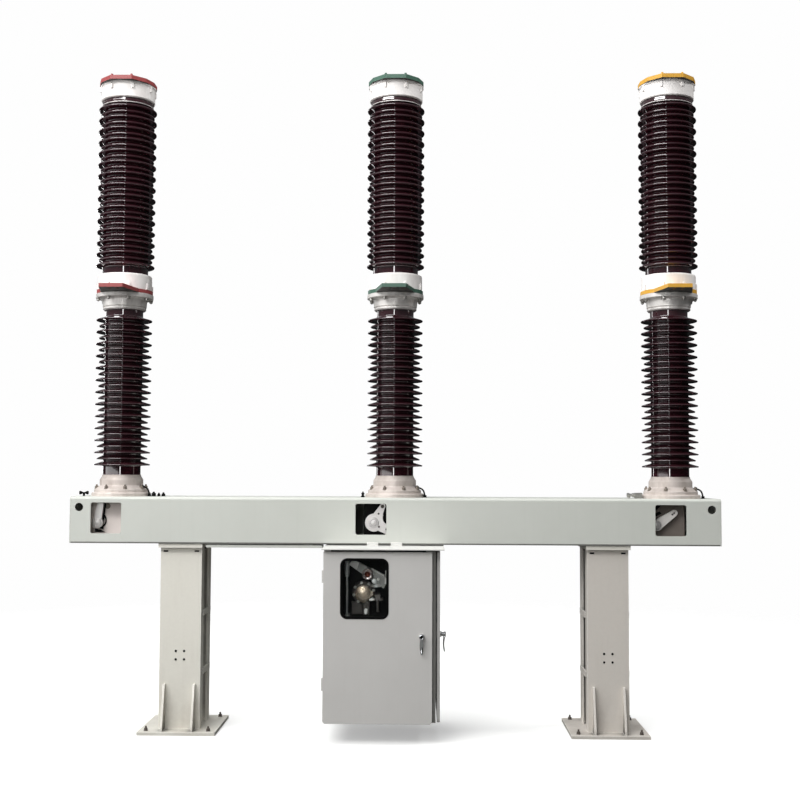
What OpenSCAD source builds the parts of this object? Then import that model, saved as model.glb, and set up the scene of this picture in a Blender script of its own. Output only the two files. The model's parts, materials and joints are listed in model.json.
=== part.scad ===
// Outdoor three-pole gas circuit breaker on a common beam, with its drive cabinet.
// Millimetres, +Z up, front towards -Y. The origin lies on the ground under the middle pole.

/* [Poles] */
// Distance between neighbouring pole axes
phase_spacing = 1700; // [1500:10:2000]
// Height of the cast base under each pole
base_h = 132; // [110:1:160]
// Radius of the cast base where it stands on the beam
base_r = 180; // [165:1:190]
// Height of the support porcelain
support_h = 1024; // [950:1:1200]
// Radius of the support porcelain's trunk
support_r = 114; // [100:1:124]
// Radius of the support porcelain's wide sheds
support_shed_r = 171; // [150:1:185]
// Radius of the support porcelain's narrow sheds
support_small_shed_r = 154; // [135:1:160]
// Number of wide sheds on the support porcelain
support_sheds = 13; // [10:1:14]
// Bare height below the lowest shed tip of the support porcelain
support_foot_neck = 62; // [50:1:80]
// Bare height above the highest shed tip of the support porcelain
support_head_neck = 62; // [50:1:80]
// Height of the cap on the support porcelain
support_cap_h = 101; // [90:1:130]
// Radius of the flange rim on that cap
flange_r = 176; // [168:1:190]
// Thickness of the flange rim
flange_t = 28; // [20:1:36]
// Height of the fitting under the interrupter
interrupter_base_h = 97; // [80:1:120]
// Radius of the fittings at both ends of the interrupter
fitting_r = 166; // [155:1:172]
// Height of the interrupter porcelain
interrupter_h = 1102; // [1000:1:1250]
// Radius of the interrupter porcelain's trunk
interrupter_r = 140; // [125:1:150]
// Radius of the interrupter porcelain's wide sheds
interrupter_shed_r = 179; // [165:1:190]
// Radius of the interrupter porcelain's narrow sheds
interrupter_small_shed_r = 165; // [152:1:170]
// Number of wide sheds on the interrupter porcelain
interrupter_sheds = 15; // [11:1:16]
// Bare height below the lowest shed tip of the interrupter porcelain
interrupter_foot_neck = 57; // [45:1:75]
// Bare height above the highest shed tip of the interrupter porcelain
interrupter_head_neck = 56; // [45:1:75]
// Height of the cap on the interrupter
top_cap_h = 98; // [80:1:120]
// Radius of the interrupter porcelain's collar under that cap
head_collar_r = 158; // [150:1:162]

/* [Terminals] */
// Thickness of the lower line terminal
terminal_t = 23; // [16:1:30]
// Reach of the lower line terminal in front of the pole axis
terminal_reach = 340; // [290:1:400]
// Width of the lower line terminal's front edge
terminal_w = 145; // [110:1:200]
// Thickness of the top terminal plate
top_terminal_t = 25; // [16:1:30]
// Half width of the top terminal plate across its side corners
top_terminal_half = 172; // [168:1:185]
// Half depth of the top terminal plate
top_terminal_reach = 194; // [180:1:210]
// Width of the top terminal plate's front edge
top_terminal_w = 132; // [90:1:180]
// Radius of the two pegs on the top terminal plate
peg_r = 7; // [5:0.5:10]
// Height of those pegs
peg_h = 12; // [6:1:20]
// Radius of a terminal's bolt holes
terminal_hole_r = 7; // [5:0.5:9]
// Spacing of a terminal's bolt holes, both ways
terminal_hole_pitch = 50; // [40:1:60]

/* [Beam] */
// Reach of the beam past the outer poles' axes
beam_over = 260; // [230:1:400]
// Height of the beam
beam_h = 280; // [260:1:320]
// Depth of the beam
beam_d = 400; // [380:1:460]
// Thickness of the beam's sheet
beam_t = 8; // [5:0.5:10]
// Outside radius of the folds along the beam's top
fold_r = 18; // [12:1:24]
// Height of the beam's underside above the ground
beam_z = 1130; // [1000:1:1400]
// Size of the square windows in the beam's front
window_size = 186; // [160:1:200]
// Corner radius of those windows
window_r = 14; // [6:1:30]
// Height of the windows' centres above the beam's underside
window_z = 151; // [140:1:160]
// Place of an outer pole's window, from the pole axis
side_window_x = -40; // [-60:1:-20]
// Place of the middle pole's window, from the pole axis
middle_window_x = -137; // [-150:1:-120]
// Radius of the round lifting holes near the beam's ends
lift_hole_r = 25; // [15:1:32]
// Distance of the lifting holes from the beam's ends
lift_hole_x = 56; // [45:1:80]
// Height of the lifting holes above the beam's underside
lift_hole_z = 216; // [150:1:225]

/* [Legs] */
// Distance of each leg's axis inside the outer pole's axis
leg_inset = 413; // [340:1:460]
// Width of a leg, across its channel webs
leg_w = 250; // [220:1:280]
// Depth of a leg over both webs
leg_d = 310; // [280:1:340]
// Reach of a channel's flanges
channel_flange = 80; // [60:1:100]
// Thickness of a channel's web
channel_web_t = 8; // [6:0.5:12]
// Thickness of a channel's flanges
channel_flange_t = 11; // [8:0.5:14]
// Height of a batten bar
batten_h = 34; // [20:1:60]
// Thickness of a batten bar
batten_t = 8; // [5:0.5:12]
// Height of the lowest batten above the ground
batten_z = 340; // [320:1:380]
// Spacing of the battens
batten_pitch = 352; // [320:1:360]
// Number of battens on each side of a leg
battens = 2; // [1:1:2]
// Size of the bolt pattern in the leg's front web
earth_pitch = 50; // [40:1:60]
// Radius of the holes in the leg's front web
earth_hole_r = 6; // [4:0.5:8]
// Height of that pattern's centre above the ground
earth_z = 458; // [420:1:500]
// Width of the vent slots in the webs' top corners
vent_w = 26; // [16:1:32]
// Height of those vent slots
vent_h = 8; // [5:1:12]
// Distance of the vent slots from the web's top and side edges
vent_inset = 18; // [14:1:30]
// Thickness of the head plate under the beam
head_t = 26; // [16:1:32]
// Overhang of the head plate past the leg's sides
head_over = 8; // [4:1:16]
// Depth of the head plate
head_d = 380; // [340:1:400]
// Width of the foot plate
foot_w = 465; // [420:1:520]
// Depth of the foot plate
foot_d = 506; // [480:1:560]
// Thickness of the foot plate
foot_t = 20; // [14:1:30]
// Radius of the anchor holes
anchor_r = 14; // [10:0.5:18]
// Distance of the anchor holes from the foot plate's edges
anchor_inset = 46; // [36:1:56]
// Height of the foot gussets
gusset_h = 268; // [200:1:300]
// Thickness of the foot gussets
gusset_t = 12; // [8:1:16]
// Distance of the gussets from the leg's axis
gusset_x = 90; // [70:1:100]

/* [Cranks] */
// Radius of the crank shafts
shaft_r = 20; // [14:0.5:24]
// Thickness of a crank
crank_t = 24; // [16:1:30]
// Depth of the cranks behind the beam's front
crank_y = 62; // [50:1:80]
// Radius of the middle crank's hub
middle_hub_r = 54; // [48:1:58]
// Radius of the outer cranks' hubs
side_hub_r = 34; // [30:1:40]
// Place of the middle crank's shaft from its pole axis
middle_shaft_x = -122; // [-130:1:-110]
// Height of the middle crank's shaft above the beam's underside
middle_shaft_z = 128; // [124:1:134]
// Place of the outer cranks' shafts from their pole axes
side_shaft_x = -111; // [-118:1:-104]
// Height of the outer cranks' shafts above the beam's underside
side_shaft_z = 121; // [112:1:126]
// Radius of the pin holes in the cranks
crank_pin_r = 6; // [4:0.5:8]
// Depth of a crank housing under its pole
housing_d = 198; // [160:1:230]
// Reach of a crank housing past its shaft and its pole axis
housing_over = 62; // [50:1:90]
// Gap between a crank and its housing, bridged by the shaft's boss
housing_gap = 16; // [12:1:24]
// Gap between a crank housing and the beam's floor
housing_lift = 22; // [10:1:40]

/* [Cabinet] */
// Left face of the cabinet
cab_left = -400; // [-440:1:-360]
// Right face of the cabinet's frame
cab_right = 252; // [230:1:290]
// Front plane of the cabinet's frame, in front of the pole axes
cab_front = 405; // [380:1:440]
// Back face of the cabinet, behind the pole axes
cab_back = 230; // [205:1:280]
// Height of the cabinet's underside above the ground
cab_z = 120; // [90:1:200]
// Thickness of the cabinet's sheet
cab_t = 3; // [2:0.5:5]
// Width of the turned-in edges beside the front opening
stile_w = 40; // [30:1:50]
// Width of the right corner post
post_w = 58; // [50:1:70]
// Gap between the roof and the beam, filled by the hanger rails
hang_gap = 6; // [5:1:16]
// Thickness of the roof at its front and back edges
roof_edge_t = 6; // [4:1:12]
// Thickness of the roof under the beam
roof_t = 9; // [8:1:24]
// Overhang of the roof past the side door
roof_over = 24; // [14:1:40]
// Overhang of the roof past the cabinet's left face
roof_left_over = 10; // [6:1:40]
// Overhang of the roof in front of the front door
roof_front_over = 30; // [20:1:50]
// Overhang of the roof behind the cabinet
roof_back_over = 32; // [20:1:50]
// Place of the left hanger rail's left edge
rail_x = -160; // [-200:1:-130]
// Spacing of the two hanger rails
rail_pitch = 143; // [110:1:180]
// Width of a hanger rail
rail_w = 68; // [50:1:90]
// Height that a hanger rail's lip climbs the beam's front
rail_lip_h = 14; // [8:1:30]

/* [Doors] */
// Thickness of the doors' sheet
door_t = 3; // [2:0.5:4]
// Depth of the front door's folded edges
door_d = 38; // [30:1:44]
// Depth of the side door's folded edges
side_door_d = 18; // [14:1:24]
// Gap between a closed door and the cabinet's frame
door_gap = 7; // [6:0.5:9]
// Right edge of the front door, left of the cabinet frame's right face
door_inset = 21; // [10:1:30]
// Gap between a door's top edge and the roof
door_top_gap = 13; // [5:1:16]
// Bottom corner radius of the doors
door_corner_r = 18; // [6:1:26]
// Left edge of the door's window from the door's left edge
pane_x = 98; // [80:1:120]
// Width of the door's window
pane_w = 281; // [240:1:300]
// Height of the door's window
pane_h = 349; // [300:1:380]
// Height of the window's top edge below the door's top edge
pane_top = 36; // [28:1:60]
// Corner radius of the door's window
pane_r = 41; // [25:1:60]
// Width of the rubber gasket round the glass
gasket_w = 15; // [10:1:20]
// Thickness of the door's glass
glass_t = 5; // [3:0.5:6]
// Radius of a hinge knuckle
knuckle_r = 6; // [5:0.5:8]
// Radius of a hinge pin
pin_r = 3; // [2:0.25:3.5]
// Length of each half of a hinge
knuckle_h = 36; // [24:1:50]
// Height of the lower hinges above the cabinet's underside
low_hinge_z = 180; // [120:1:240]
// Height of the upper hinges above the cabinet's underside
high_hinge_z = 800; // [700:1:880]
// Height of the handles' spindles above the cabinet's underside
handle_z = 500; // [400:1:600]
// Distance of a handle's spindle from the door's free edge
handle_inset = 61; // [50:1:80]
// Length of a handle's lever below its spindle
handle_len = 104; // [80:1:130]
// Reach of a handle in front of its door
handle_reach = 36; // [30:1:44]
// Radius of a handle's spindle
spindle_r = 6; // [4:0.5:7]
// Radius of a handle's round hub
handle_hub_r = 15; // [12:0.5:18]

/* [Mechanism] */
// Place of the mechanism plate behind the cabinet's front plane
mech_plate_y = 255; // [230:1:290]
// Thickness of the mechanism plate
mech_plate_t = 6; // [4:0.5:10]
// Thickness of the rocker arm and the cam
mech_t = 30; // [20:1:40]
// Gap between the mechanism plate and the rocker arm
mech_stand_off = 70; // [50:1:100]
// Radius of the rocker arm's roller
roller_r = 34; // [26:1:38]
// Radius of the cam's round lobe
cam_r = 47; // [38:1:52]
// Radius of the vertical drive rod
drive_rod_r = 7; // [5:0.5:10]

/* [Wiring] */
// Gap between the wiring duct and the left leg's head plate
duct_gap = 22; // [10:1:60]
// Width of the wiring duct
duct_w = 100; // [60:1:140]
// Height of the wiring duct
duct_h = 16; // [12:1:20]
// Length of the saddles that hold the duct
saddle_len = 60; // [40:1:80]
// Height of those saddles
saddle_h = 7; // [5:1:9]

/* [Hidden] */
$fn = 96;

// Running clearance of a pin in its bore
fit_gap = 0.1;
// Clearance between pieces that only lie against each other
seat_gap = 0.3;
// Depth that the welded bars of one piece run into each other
weld = 1;

left = -1;
middle = 0;
right = 1;

// Finishes
beam_paint = [0.76, 0.77, 0.745];
cabinet_paint = [0.70, 0.70, 0.685];
galvanised = [0.78, 0.77, 0.74];
porcelain_glaze = [0.22, 0.13, 0.14];
cast_aluminium = [0.82, 0.82, 0.80];
phase_red = [0.72, 0.40, 0.40];
phase_green = [0.27, 0.45, 0.38];
phase_yellow = [0.90, 0.70, 0.25];
machined_steel = [0.72, 0.70, 0.68];
black_paint = [0.07, 0.07, 0.075];
black_rubber = [0.05, 0.05, 0.05];
window_glass = [0.75, 0.85, 0.88, 0.3];
handle_chrome = [0.85, 0.85, 0.86];
passivated_steel = [0.80, 0.70, 0.48];

// Heights along a pole, from the beam's top
beam_top = beam_z + beam_h;
support_z = base_h;
support_cap_z = support_z + support_h;
terminal_z = support_cap_z + support_cap_h;
interrupter_base_z = terminal_z + terminal_t;
interrupter_z = interrupter_base_z + interrupter_base_h;
top_cap_z = interrupter_z + interrupter_h;
top_terminal_z = top_cap_z + top_cap_h;

// Beam
beam_front = -beam_d / 2;
beam_half = phase_spacing + beam_over;
beam_floor = beam_z + beam_t;
leg_offset = phase_spacing - leg_inset;

// Cabinet
roof_top = beam_z - hang_gap;
roof_under = roof_top - roof_t;
frame_y = -cab_front;
door_back_y = frame_y - door_gap;
door_face_y = door_back_y - door_d;
door_left = cab_left;
door_right = cab_right - door_inset;
door_top = roof_under - door_top_gap;
side_door_x = cab_right + door_gap;
side_door_face = side_door_x + side_door_d;
side_door_front = frame_y + door_gap;
pane_left = door_left + pane_x;
pane_base = door_top - pane_top - pane_h;
mech_front = frame_y + mech_plate_y;
arm_back = mech_front - mech_stand_off;
arm_front = arm_back - mech_t;

// Hinge axes lie half a knuckle outside the wall and just in front of the frame
hinge_out = knuckle_r + 0.5;
hinge_fore = 2;

module along_x(x0, x1) translate([x0, 0, 0]) rotate([90, 0, 90]) linear_extrude(x1 - x0) children();
module along_y(y0, y1) translate([0, y1, 0]) rotate([90, 0, 0]) linear_extrude(y1 - y0) children();
module slab(from, to) translate(from) cube(to - from);
module rounded_rect(size, r) {
    translate([r, 0]) square([size.x - 2 * r, size.y]);
    translate([0, r]) square([size.x, size.y - 2 * r]);
    for (x = [r, size.x - r], y = [r, size.y - r]) translate([x, y]) circle(r);
}
module at_pole(side, z) translate([side * phase_spacing, 0, beam_top + z]) children();
module at_leg(side) translate([side * leg_offset, 0, 0]) children();

// Legs

// Two channels, webs outwards, tied by batten bars on both sides
module leg() color(galvanised) {
    z0 = foot_t;
    z1 = beam_z - head_t;
    difference() {
        union() for (turn = [0, 180]) rotate(turn) translate([0, 0, z0]) linear_extrude(z1 - z0) channel_section();
        for (x = [-1, 1], z = [-1, 1]) translate([x * earth_pitch / 2, -leg_d / 2, earth_z + z * earth_pitch / 2])
            rotate([-90, 0, 0]) translate([0, 0, -1]) cylinder(r = earth_hole_r, h = channel_web_t + 2);
        along_y(-leg_d / 2 - 1, leg_d / 2 + 1) for (x = [vent_inset - leg_w / 2, leg_w / 2 - vent_inset - vent_w])
            translate([x, z1 - vent_inset - vent_h]) square([vent_w, vent_h]);
    }
    tie = leg_d - channel_flange;
    for (x = [-leg_w / 2 - batten_t, leg_w / 2 - weld], n = [0 : battens - 1])
        translate([x, -tie / 2, batten_z + n * batten_pitch]) cube([batten_t + weld, tie, batten_h]);
}
module channel_section() translate([-leg_w / 2, -leg_d / 2]) difference() {
    square([leg_w, channel_flange]);
    translate([channel_flange_t, channel_web_t]) square([leg_w - 2 * channel_flange_t, channel_flange]);
}

// Foot plate with anchor holes and gussets in front of and behind the leg
module foot() color(galvanised) {
    translate([-foot_w / 2, -foot_d / 2, 0]) linear_extrude(foot_t) difference() {
        square([foot_w, foot_d]);
        for (x = [anchor_inset, foot_w - anchor_inset], y = [anchor_inset, foot_d - anchor_inset])
            translate([x, y]) circle(anchor_r);
    }
    for (turn = [0, 180], x = [-gusset_x, gusset_x]) rotate(turn) translate([x, 0, foot_t])
        along_x(-gusset_t / 2, gusset_t / 2) gusset_outline();
}
module gusset_outline() {
    reach = (foot_d - leg_d) / 2 - 14;
    toe = 24;
    translate([-leg_d / 2, 0]) polygon([[0, 0], [0, gusset_h], [-toe, gusset_h], [-reach, toe], [-reach, 0]]);
}
module head_plate() color(galvanised)
    translate([-leg_w / 2 - head_over, -head_d / 2, beam_z - head_t]) cube([leg_w + 2 * head_over, head_d, head_t]);

// Beam

module lift_holes() for (x = [-1, 1]) translate([x * (beam_half - lift_hole_x), beam_z + lift_hole_z]) circle(lift_hole_r);
function window_left(side) =
    side * phase_spacing + (side == middle ? middle_window_x : side_window_x) - window_size / 2;
module beam_windows() for (side = [left, middle, right])
    translate([window_left(side), beam_z + window_z - window_size / 2]) rounded_rect([window_size, window_size], window_r);
// Full height of the beam over each window's width
module window_bays() for (side = [left, middle, right])
    translate([window_left(side), beam_z]) square([window_size, beam_h]);
module beam_web_outline() translate([-beam_half + beam_t, beam_floor])
    square([2 * (beam_half - beam_t), beam_h - beam_t - fold_r]);
// Front sheet beside the windows: two ends and two long bays
module beam_front_panels() color(beam_paint) along_y(beam_front, beam_front + beam_t) difference() {
    beam_web_outline();
    window_bays();
    lift_holes();
}
// Front sheet above and below each window
module beam_window_strips() color(beam_paint) along_y(beam_front, beam_front + beam_t) difference() {
    intersection() {
        beam_web_outline();
        window_bays();
    }
    beam_windows();
}
module beam_rear_plate() color(beam_paint) along_y(-beam_front - beam_t, -beam_front) difference() {
    beam_web_outline();
    lift_holes();
}
// Top sheet with its two long edges folded down
module beam_top_plate() color(beam_paint)
    along_x(-beam_half + beam_t, beam_half - beam_t) difference() {
        beam_crown(0);
        beam_crown(beam_t);
        translate([beam_front, beam_top - beam_h]) square([beam_d, beam_h - fold_r]);
    }
module beam_crown(inset) translate([beam_front + inset, beam_z + inset]) {
    size = [beam_d - 2 * inset, beam_h - 2 * inset];
    square([size.x, size.y - fold_r + inset]);
    translate([fold_r - inset, 0]) square([size.x - 2 * (fold_r - inset), size.y]);
    for (x = [fold_r - inset, size.x - fold_r + inset]) translate([x, size.y - fold_r + inset]) circle(fold_r - inset);
}
module beam_bottom_plate() color(beam_paint)
    slab([-beam_half + beam_t, beam_front, beam_z], [beam_half - beam_t, -beam_front, beam_floor]);
module beam_end_plates() color(beam_paint) for (x = [-beam_half, beam_half - beam_t]) along_x(x, x + beam_t) beam_crown(0);

// Poles

module revolve(outline) rotate_extrude() polygon(outline);
// One shed on a trunk of radius r: flat below, sloping above, with a rounded tip
function shed(z, r, tip, below, above) =
    let (t = 4) [[r, z - below], [tip - t, z - t], [tip - 1, z - t / 2], [tip, z], [tip - t, z + t / 2], [r, z + above]];
// Outline of a porcelain with wide sheds and narrow ones between them
function porcelain(h, r, wide, narrow, count, foot, head, below, above) =
    let (pitch = (h - foot - head) / (count - 1))
    concat(
        [[0, 0], [r, 0]],
        [for (n = [0 : 2 * count - 2], p = shed(foot + n * pitch / 2, r, n % 2 == 0 ? wide : narrow, below, above)) p],
        [[r, h], [0, h]]
    );
// Cast base: foot, bolted flange, sloping skirt and the collar that holds the porcelain
module pole_base() color(cast_aluminium) {
    collar_r = support_r + 18;
    neck_r = support_r + 4;
    flange = base_r - 16;
    skirt_z = base_h / 2;
    revolve([
        [0, 0], [base_r, 0], [base_r, 18], [base_r - 4, 22], [flange, 24], [flange, 42], [flange - 4, 46],
        [collar_r + 6, skirt_z - 4], [collar_r, skirt_z], [collar_r, base_h - 30], [neck_r, base_h - 8],
        [neck_r, base_h], [0, base_h]
    ]);
}
module support_porcelain() color(porcelain_glaze) revolve(porcelain(
    support_h, support_r, support_shed_r, support_small_shed_r, support_sheds,
    support_foot_neck, support_head_neck, 7, 20
));
// Ring, groove and barrel that open into the bolted flange rim
module support_cap() color(cast_aluminium) {
    barrel_r = support_r + 20;
    ring_h = 16;
    rim_z = support_cap_h - flange_t;
    revolve([
        [0, 0], [barrel_r - 8, 0], [barrel_r - 2, 6], [barrel_r - 2, ring_h], [barrel_r - 7, ring_h],
        [barrel_r - 7, ring_h + 5], [barrel_r, ring_h + 5], [barrel_r + 4, rim_z - 4], [barrel_r + 12, rim_z],
        [flange_r - 3, rim_z], [flange_r, rim_z + 3], [flange_r, support_cap_h], [0, support_cap_h]
    ]);
}
// Flat line terminal that reaches out in front of the pole
module line_terminal(paint) color(paint) linear_extrude(terminal_t) difference() {
    waist = (terminal_w / 2 + flange_r) / 2;
    union() {
        circle(flange_r - 4);
        polygon([
            [-flange_r + 4, 0], [-waist, -terminal_reach * 0.3], [-terminal_w / 2, -terminal_reach],
            [terminal_w / 2, -terminal_reach], [waist, -terminal_reach * 0.3], [flange_r - 4, 0]
        ]);
    }
    for (x = [-1, 1], y = [0, 1])
        translate([x * terminal_hole_pitch / 2, -terminal_reach + 25 + y * terminal_hole_pitch]) circle(terminal_hole_r);
}
// Ribs standing on a fitting's outside
module fitting_ribs(z, h) for (n = [0 : 7]) rotate(22.5 + 45 * n) translate([fitting_r - 10, -7, z]) cube([18, 14, h]);
module interrupter_base() color(cast_aluminium) {
    shoulder = 22;
    difference() {
        rotate_extrude() {
            square([fitting_r, interrupter_base_h - shoulder]);
            square([fitting_r - shoulder, interrupter_base_h]);
            translate([fitting_r - shoulder, interrupter_base_h - shoulder]) intersection() {
                circle(shoulder);
                square(shoulder);
            }
        }
    }
    fitting_ribs(0, 40);
}
module interrupter_porcelain() color(porcelain_glaze) {
    revolve(porcelain(
        interrupter_h, interrupter_r, interrupter_shed_r, interrupter_small_shed_r, interrupter_sheds,
        interrupter_foot_neck, interrupter_head_neck, 11, 22
    ));
    translate([0, 0, interrupter_h]) revolve([
        [0, -38], [interrupter_r - 4, -38], [head_collar_r - 4, -32], [head_collar_r, -26], [head_collar_r, -12],
        [head_collar_r - 6, -8], [head_collar_r - 6, 0], [0, 0]
    ]);
}
module top_cap() color(cast_aluminium) {
    lip = 12;
    revolve([
        [0, 0], [fitting_r - 4, 0], [fitting_r, 4], [fitting_r, top_cap_h - lip], [fitting_r + 6, top_cap_h - lip + 4],
        [fitting_r + 6, top_cap_h], [0, top_cap_h]
    ]);
    fitting_ribs(top_cap_h - lip - 34, 36);
}
// Plate with cut corners and two pegs along its front edge
module top_terminal(paint) color(paint) {
    corner = [(top_terminal_half + top_terminal_w) / 2, (40 + top_terminal_reach) / 2] + [-10, 5];
    linear_extrude(top_terminal_t) polygon([
        for (s = [1, -1]) each [
            [s * top_terminal_half, s * 40], s * corner, [s * top_terminal_w / 2, s * top_terminal_reach],
            [-s * top_terminal_w / 2, s * top_terminal_reach], [-s * corner[0], s * corner[1]], [-s * top_terminal_half, s * 40]
        ]
    ]);
    for (x = [-1, 1]) translate([x * (top_terminal_w / 2 - 5), -top_terminal_reach + 20, 0])
        cylinder(r = peg_r, h = top_terminal_t + peg_h);
}

// Cranks behind the beam's windows

crank_front = beam_front + crank_y;
crank_back = crank_front + crank_t;
// Arm of a crank from its hub, tapering towards a round end with a pin hole
module crank_arm(angle, len, root_r, end_r) rotate(angle) {
    polygon([[0, -root_r], [len, -end_r], [len, end_r], [0, root_r]]);
    translate([len, 0]) circle(end_r);
}
// Sheet between the two arms of the middle crank, hollowed on its outer side
module crank_web(from, to, reach, hollow_at, hollow_r) difference() {
    polygon([[0, 0], reach * [cos(from), sin(from)], reach * [cos(to), sin(to)]]);
    translate(hollow_at) circle(hollow_r);
}
module crank(x, z, hub_r, arms) color(machined_steel) translate([x, 0, beam_z + z]) along_y(crank_front, crank_back)
    difference() {
        union() {
            circle(hub_r);
            for (arm = arms) crank_arm(arm[0], arm[1], arm[2], arm[3]);
            children();
        }
        circle(shaft_r + fit_gap);
        for (arm = arms) rotate(arm[0]) translate([arm[1], 0]) circle(crank_pin_r);
    }
// Arms: angle, length, half width at the hub and radius of the end
left_arm = [80, 132, 24, 18];
right_arm = [35, 127, 32, 20];
rod_arm = [62, 111, 36, 17];
drive_arm = [-28, 86, 34, 27];
module left_crank() crank(side_shaft_x - phase_spacing, side_shaft_z, side_hub_r, [left_arm]);
module middle_crank() crank(middle_shaft_x, middle_shaft_z, middle_hub_r, [rod_arm, drive_arm])
    crank_web(drive_arm[0], rod_arm[0], 95, [98, 28], 44);
module right_crank() crank(side_shaft_x + phase_spacing, side_shaft_z, side_hub_r, [right_arm]);
// Cast crank housing under a pole, hung from the beam's top sheet, with the shaft's boss in front
module crank_housing(side, shaft_x, shaft_z) color(black_paint) {
    x = side * phase_spacing;
    boss_r = shaft_r + 14;
    front = crank_back + housing_gap;
    slab(
        [x + shaft_x - housing_over, front, beam_floor + housing_lift],
        [x + housing_over, front + housing_d, beam_top - beam_t]
    );
    translate([x + shaft_x, 0, beam_z + shaft_z]) {
        along_y(crank_back + seat_gap, front + weld) circle(boss_r);
        along_y(crank_front - 6, front + weld) circle(shaft_r);
    }
}

// Cabinet

// Left wall with its front edge turned in and the pins of the front door's hinges
module cabinet_left_wall() color(cabinet_paint) {
    linear_extrude_walls() {
        translate([cab_left, frame_y]) square([cab_t, cab_front + cab_back - cab_t]);
        translate([cab_left, frame_y]) square([stile_w, cab_t]);
    }
    for (z = [low_hinge_z, high_hinge_z]) translate([cab_left - hinge_out, frame_y - hinge_fore, cab_z + z]) {
        linear_extrude(knuckle_h) {
            circle(knuckle_r);
            translate([hinge_out - 4, -hinge_fore]) square([4, 46]);
        }
        cylinder(r = pin_r, h = 2 * knuckle_h);
    }
}
module linear_extrude_walls() translate([0, 0, cab_z + cab_t]) linear_extrude(roof_under - cab_z - cab_t) children();
// Back wall with the pins of the side door's hinges
module cabinet_back_wall() color(cabinet_paint) {
    linear_extrude_walls() translate([cab_left, cab_back - cab_t]) square([cab_right - cab_left, cab_t]);
    for (z = [low_hinge_z, high_hinge_z]) translate([cab_right + hinge_fore, cab_back + hinge_out, cab_z + z]) {
        linear_extrude(knuckle_h) {
            circle(knuckle_r);
            translate([hinge_fore - 46, -hinge_out]) square([46, 4]);
        }
        cylinder(r = pin_r, h = 2 * knuckle_h);
    }
}
module cabinet_floor() color(cabinet_paint)
    slab([cab_left, frame_y, cab_z], [cab_right, cab_back, cab_z + cab_t]);
// Corner post between the two door openings
module cabinet_right_post() color(cabinet_paint) linear_extrude_walls() {
    translate([cab_right - post_w, frame_y]) square([post_w, cab_t]);
    translate([cab_right - cab_t, frame_y]) square([cab_t, post_w]);
}
// Roof: level under the beam, falling to thin edges in front and behind
module cabinet_roof() color(cabinet_paint)
    along_x(cab_left - roof_left_over, side_door_face + roof_over) polygon([
        [door_face_y - roof_front_over, roof_under], [cab_back + roof_back_over, roof_under],
        [cab_back + roof_back_over, roof_under + roof_edge_t], [-beam_front, roof_top], [beam_front - 12, roof_top],
        [door_face_y - roof_front_over, roof_under + roof_edge_t]
    ]);
// Rails that carry the roof under the beam, with a lip up the beam's front
module hanger_rails() color(galvanised) for (x = [rail_x, rail_x + rail_pitch]) {
    slab([x, beam_front - 6, roof_top], [x + rail_w, -beam_front, beam_z]);
    slab([x, beam_front - 6, beam_z], [x + rail_w, beam_front, beam_z + rail_lip_h]);
}
module wiring_duct() color(beam_paint) {
    duct_right = cab_left - roof_left_over - 20;
    duct_left = -leg_offset + leg_w / 2 + head_over + duct_gap;
    y0 = beam_front + 8;
    saddle_inset = duct_w / 5;
    z1 = beam_z - saddle_h;
    slab([duct_left, y0, z1 - duct_h], [duct_right, y0 + duct_w, z1]);
    for (x = [duct_left + saddle_len, duct_right - 2 * saddle_len])
        slab([x, y0 + saddle_inset, z1], [x + saddle_len, y0 + duct_w - saddle_inset, beam_z]);
}

// Doors

// Folded door sheet, upright, seen along its depth: bottom corners rounded
module door_outline(w, h, r) {
    translate([0, r]) square([w, h - r]);
    translate([r, 0]) square([w - 2 * r, h]);
    for (x = [r, w - r]) translate([x, r]) circle(r);
}
module pane_outline(inset) translate([pane_left + inset, pane_base + inset])
    rounded_rect([pane_w - 2 * inset, pane_h - 2 * inset], pane_r - inset);
// Front door with the window cut through, its knuckles on the left and the handle's spindle
module front_door() color(cabinet_paint) {
    w = door_right - door_left;
    h = door_top - cab_z;
    difference() {
        along_y(door_face_y, door_back_y) translate([door_left, cab_z]) door_outline(w, h, door_corner_r);
        along_y(door_face_y + door_t, door_back_y + 1) translate([door_left + door_t, cab_z + door_t])
            door_outline(w - 2 * door_t, h - 2 * door_t, door_corner_r - door_t);
        along_y(door_face_y - 1, door_face_y + door_t + 1) pane_outline(0);
    }
    for (z = [low_hinge_z, high_hinge_z])
        translate([cab_left - hinge_out, frame_y - hinge_fore, cab_z + z + knuckle_h + seat_gap]) difference() {
            linear_extrude(knuckle_h) {
                circle(knuckle_r);
                translate([hinge_out - 4, -door_gap - 24]) square([4, door_gap + 24]);
            }
            translate([0, 0, -1]) cylinder(r = pin_r + fit_gap, h = knuckle_h + 2);
        }
    translate([door_right - handle_inset, door_face_y, cab_z + handle_z]) rotate([90, 0, 0]) handle_spindle();
}
module handle_spindle() {
    cylinder(r = handle_hub_r + 3, h = 4);
    cylinder(r = spindle_r, h = handle_reach - 2);
}
// Handle turned to hang down, its spindle along +Z and its lever along -Y
module handle() difference() {
    union() {
        translate([0, 0, 4 + seat_gap]) cylinder(r = handle_hub_r, h = handle_reach - 4 - seat_gap);
        translate([0, 0, handle_reach - 12]) linear_extrude(12) {
            polygon([[-12, 0], [-9, -handle_len + 8], [9, -handle_len + 8], [12, 0]]);
            translate([0, -handle_len + 8]) circle(9);
        }
    }
    cylinder(r = spindle_r + fit_gap, h = handle_reach - 1);
}
module front_handle() color(handle_chrome)
    translate([door_right - handle_inset, door_face_y, cab_z + handle_z]) rotate([90, 0, 0]) handle();
module window_gasket() color(black_rubber) along_y(door_face_y - 2, door_face_y + door_t + 8) difference() {
    pane_outline(0);
    pane_outline(gasket_w);
}
module door_glass() color(window_glass) along_y(door_face_y + door_t, door_face_y + door_t + glass_t) pane_outline(gasket_w);
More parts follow.
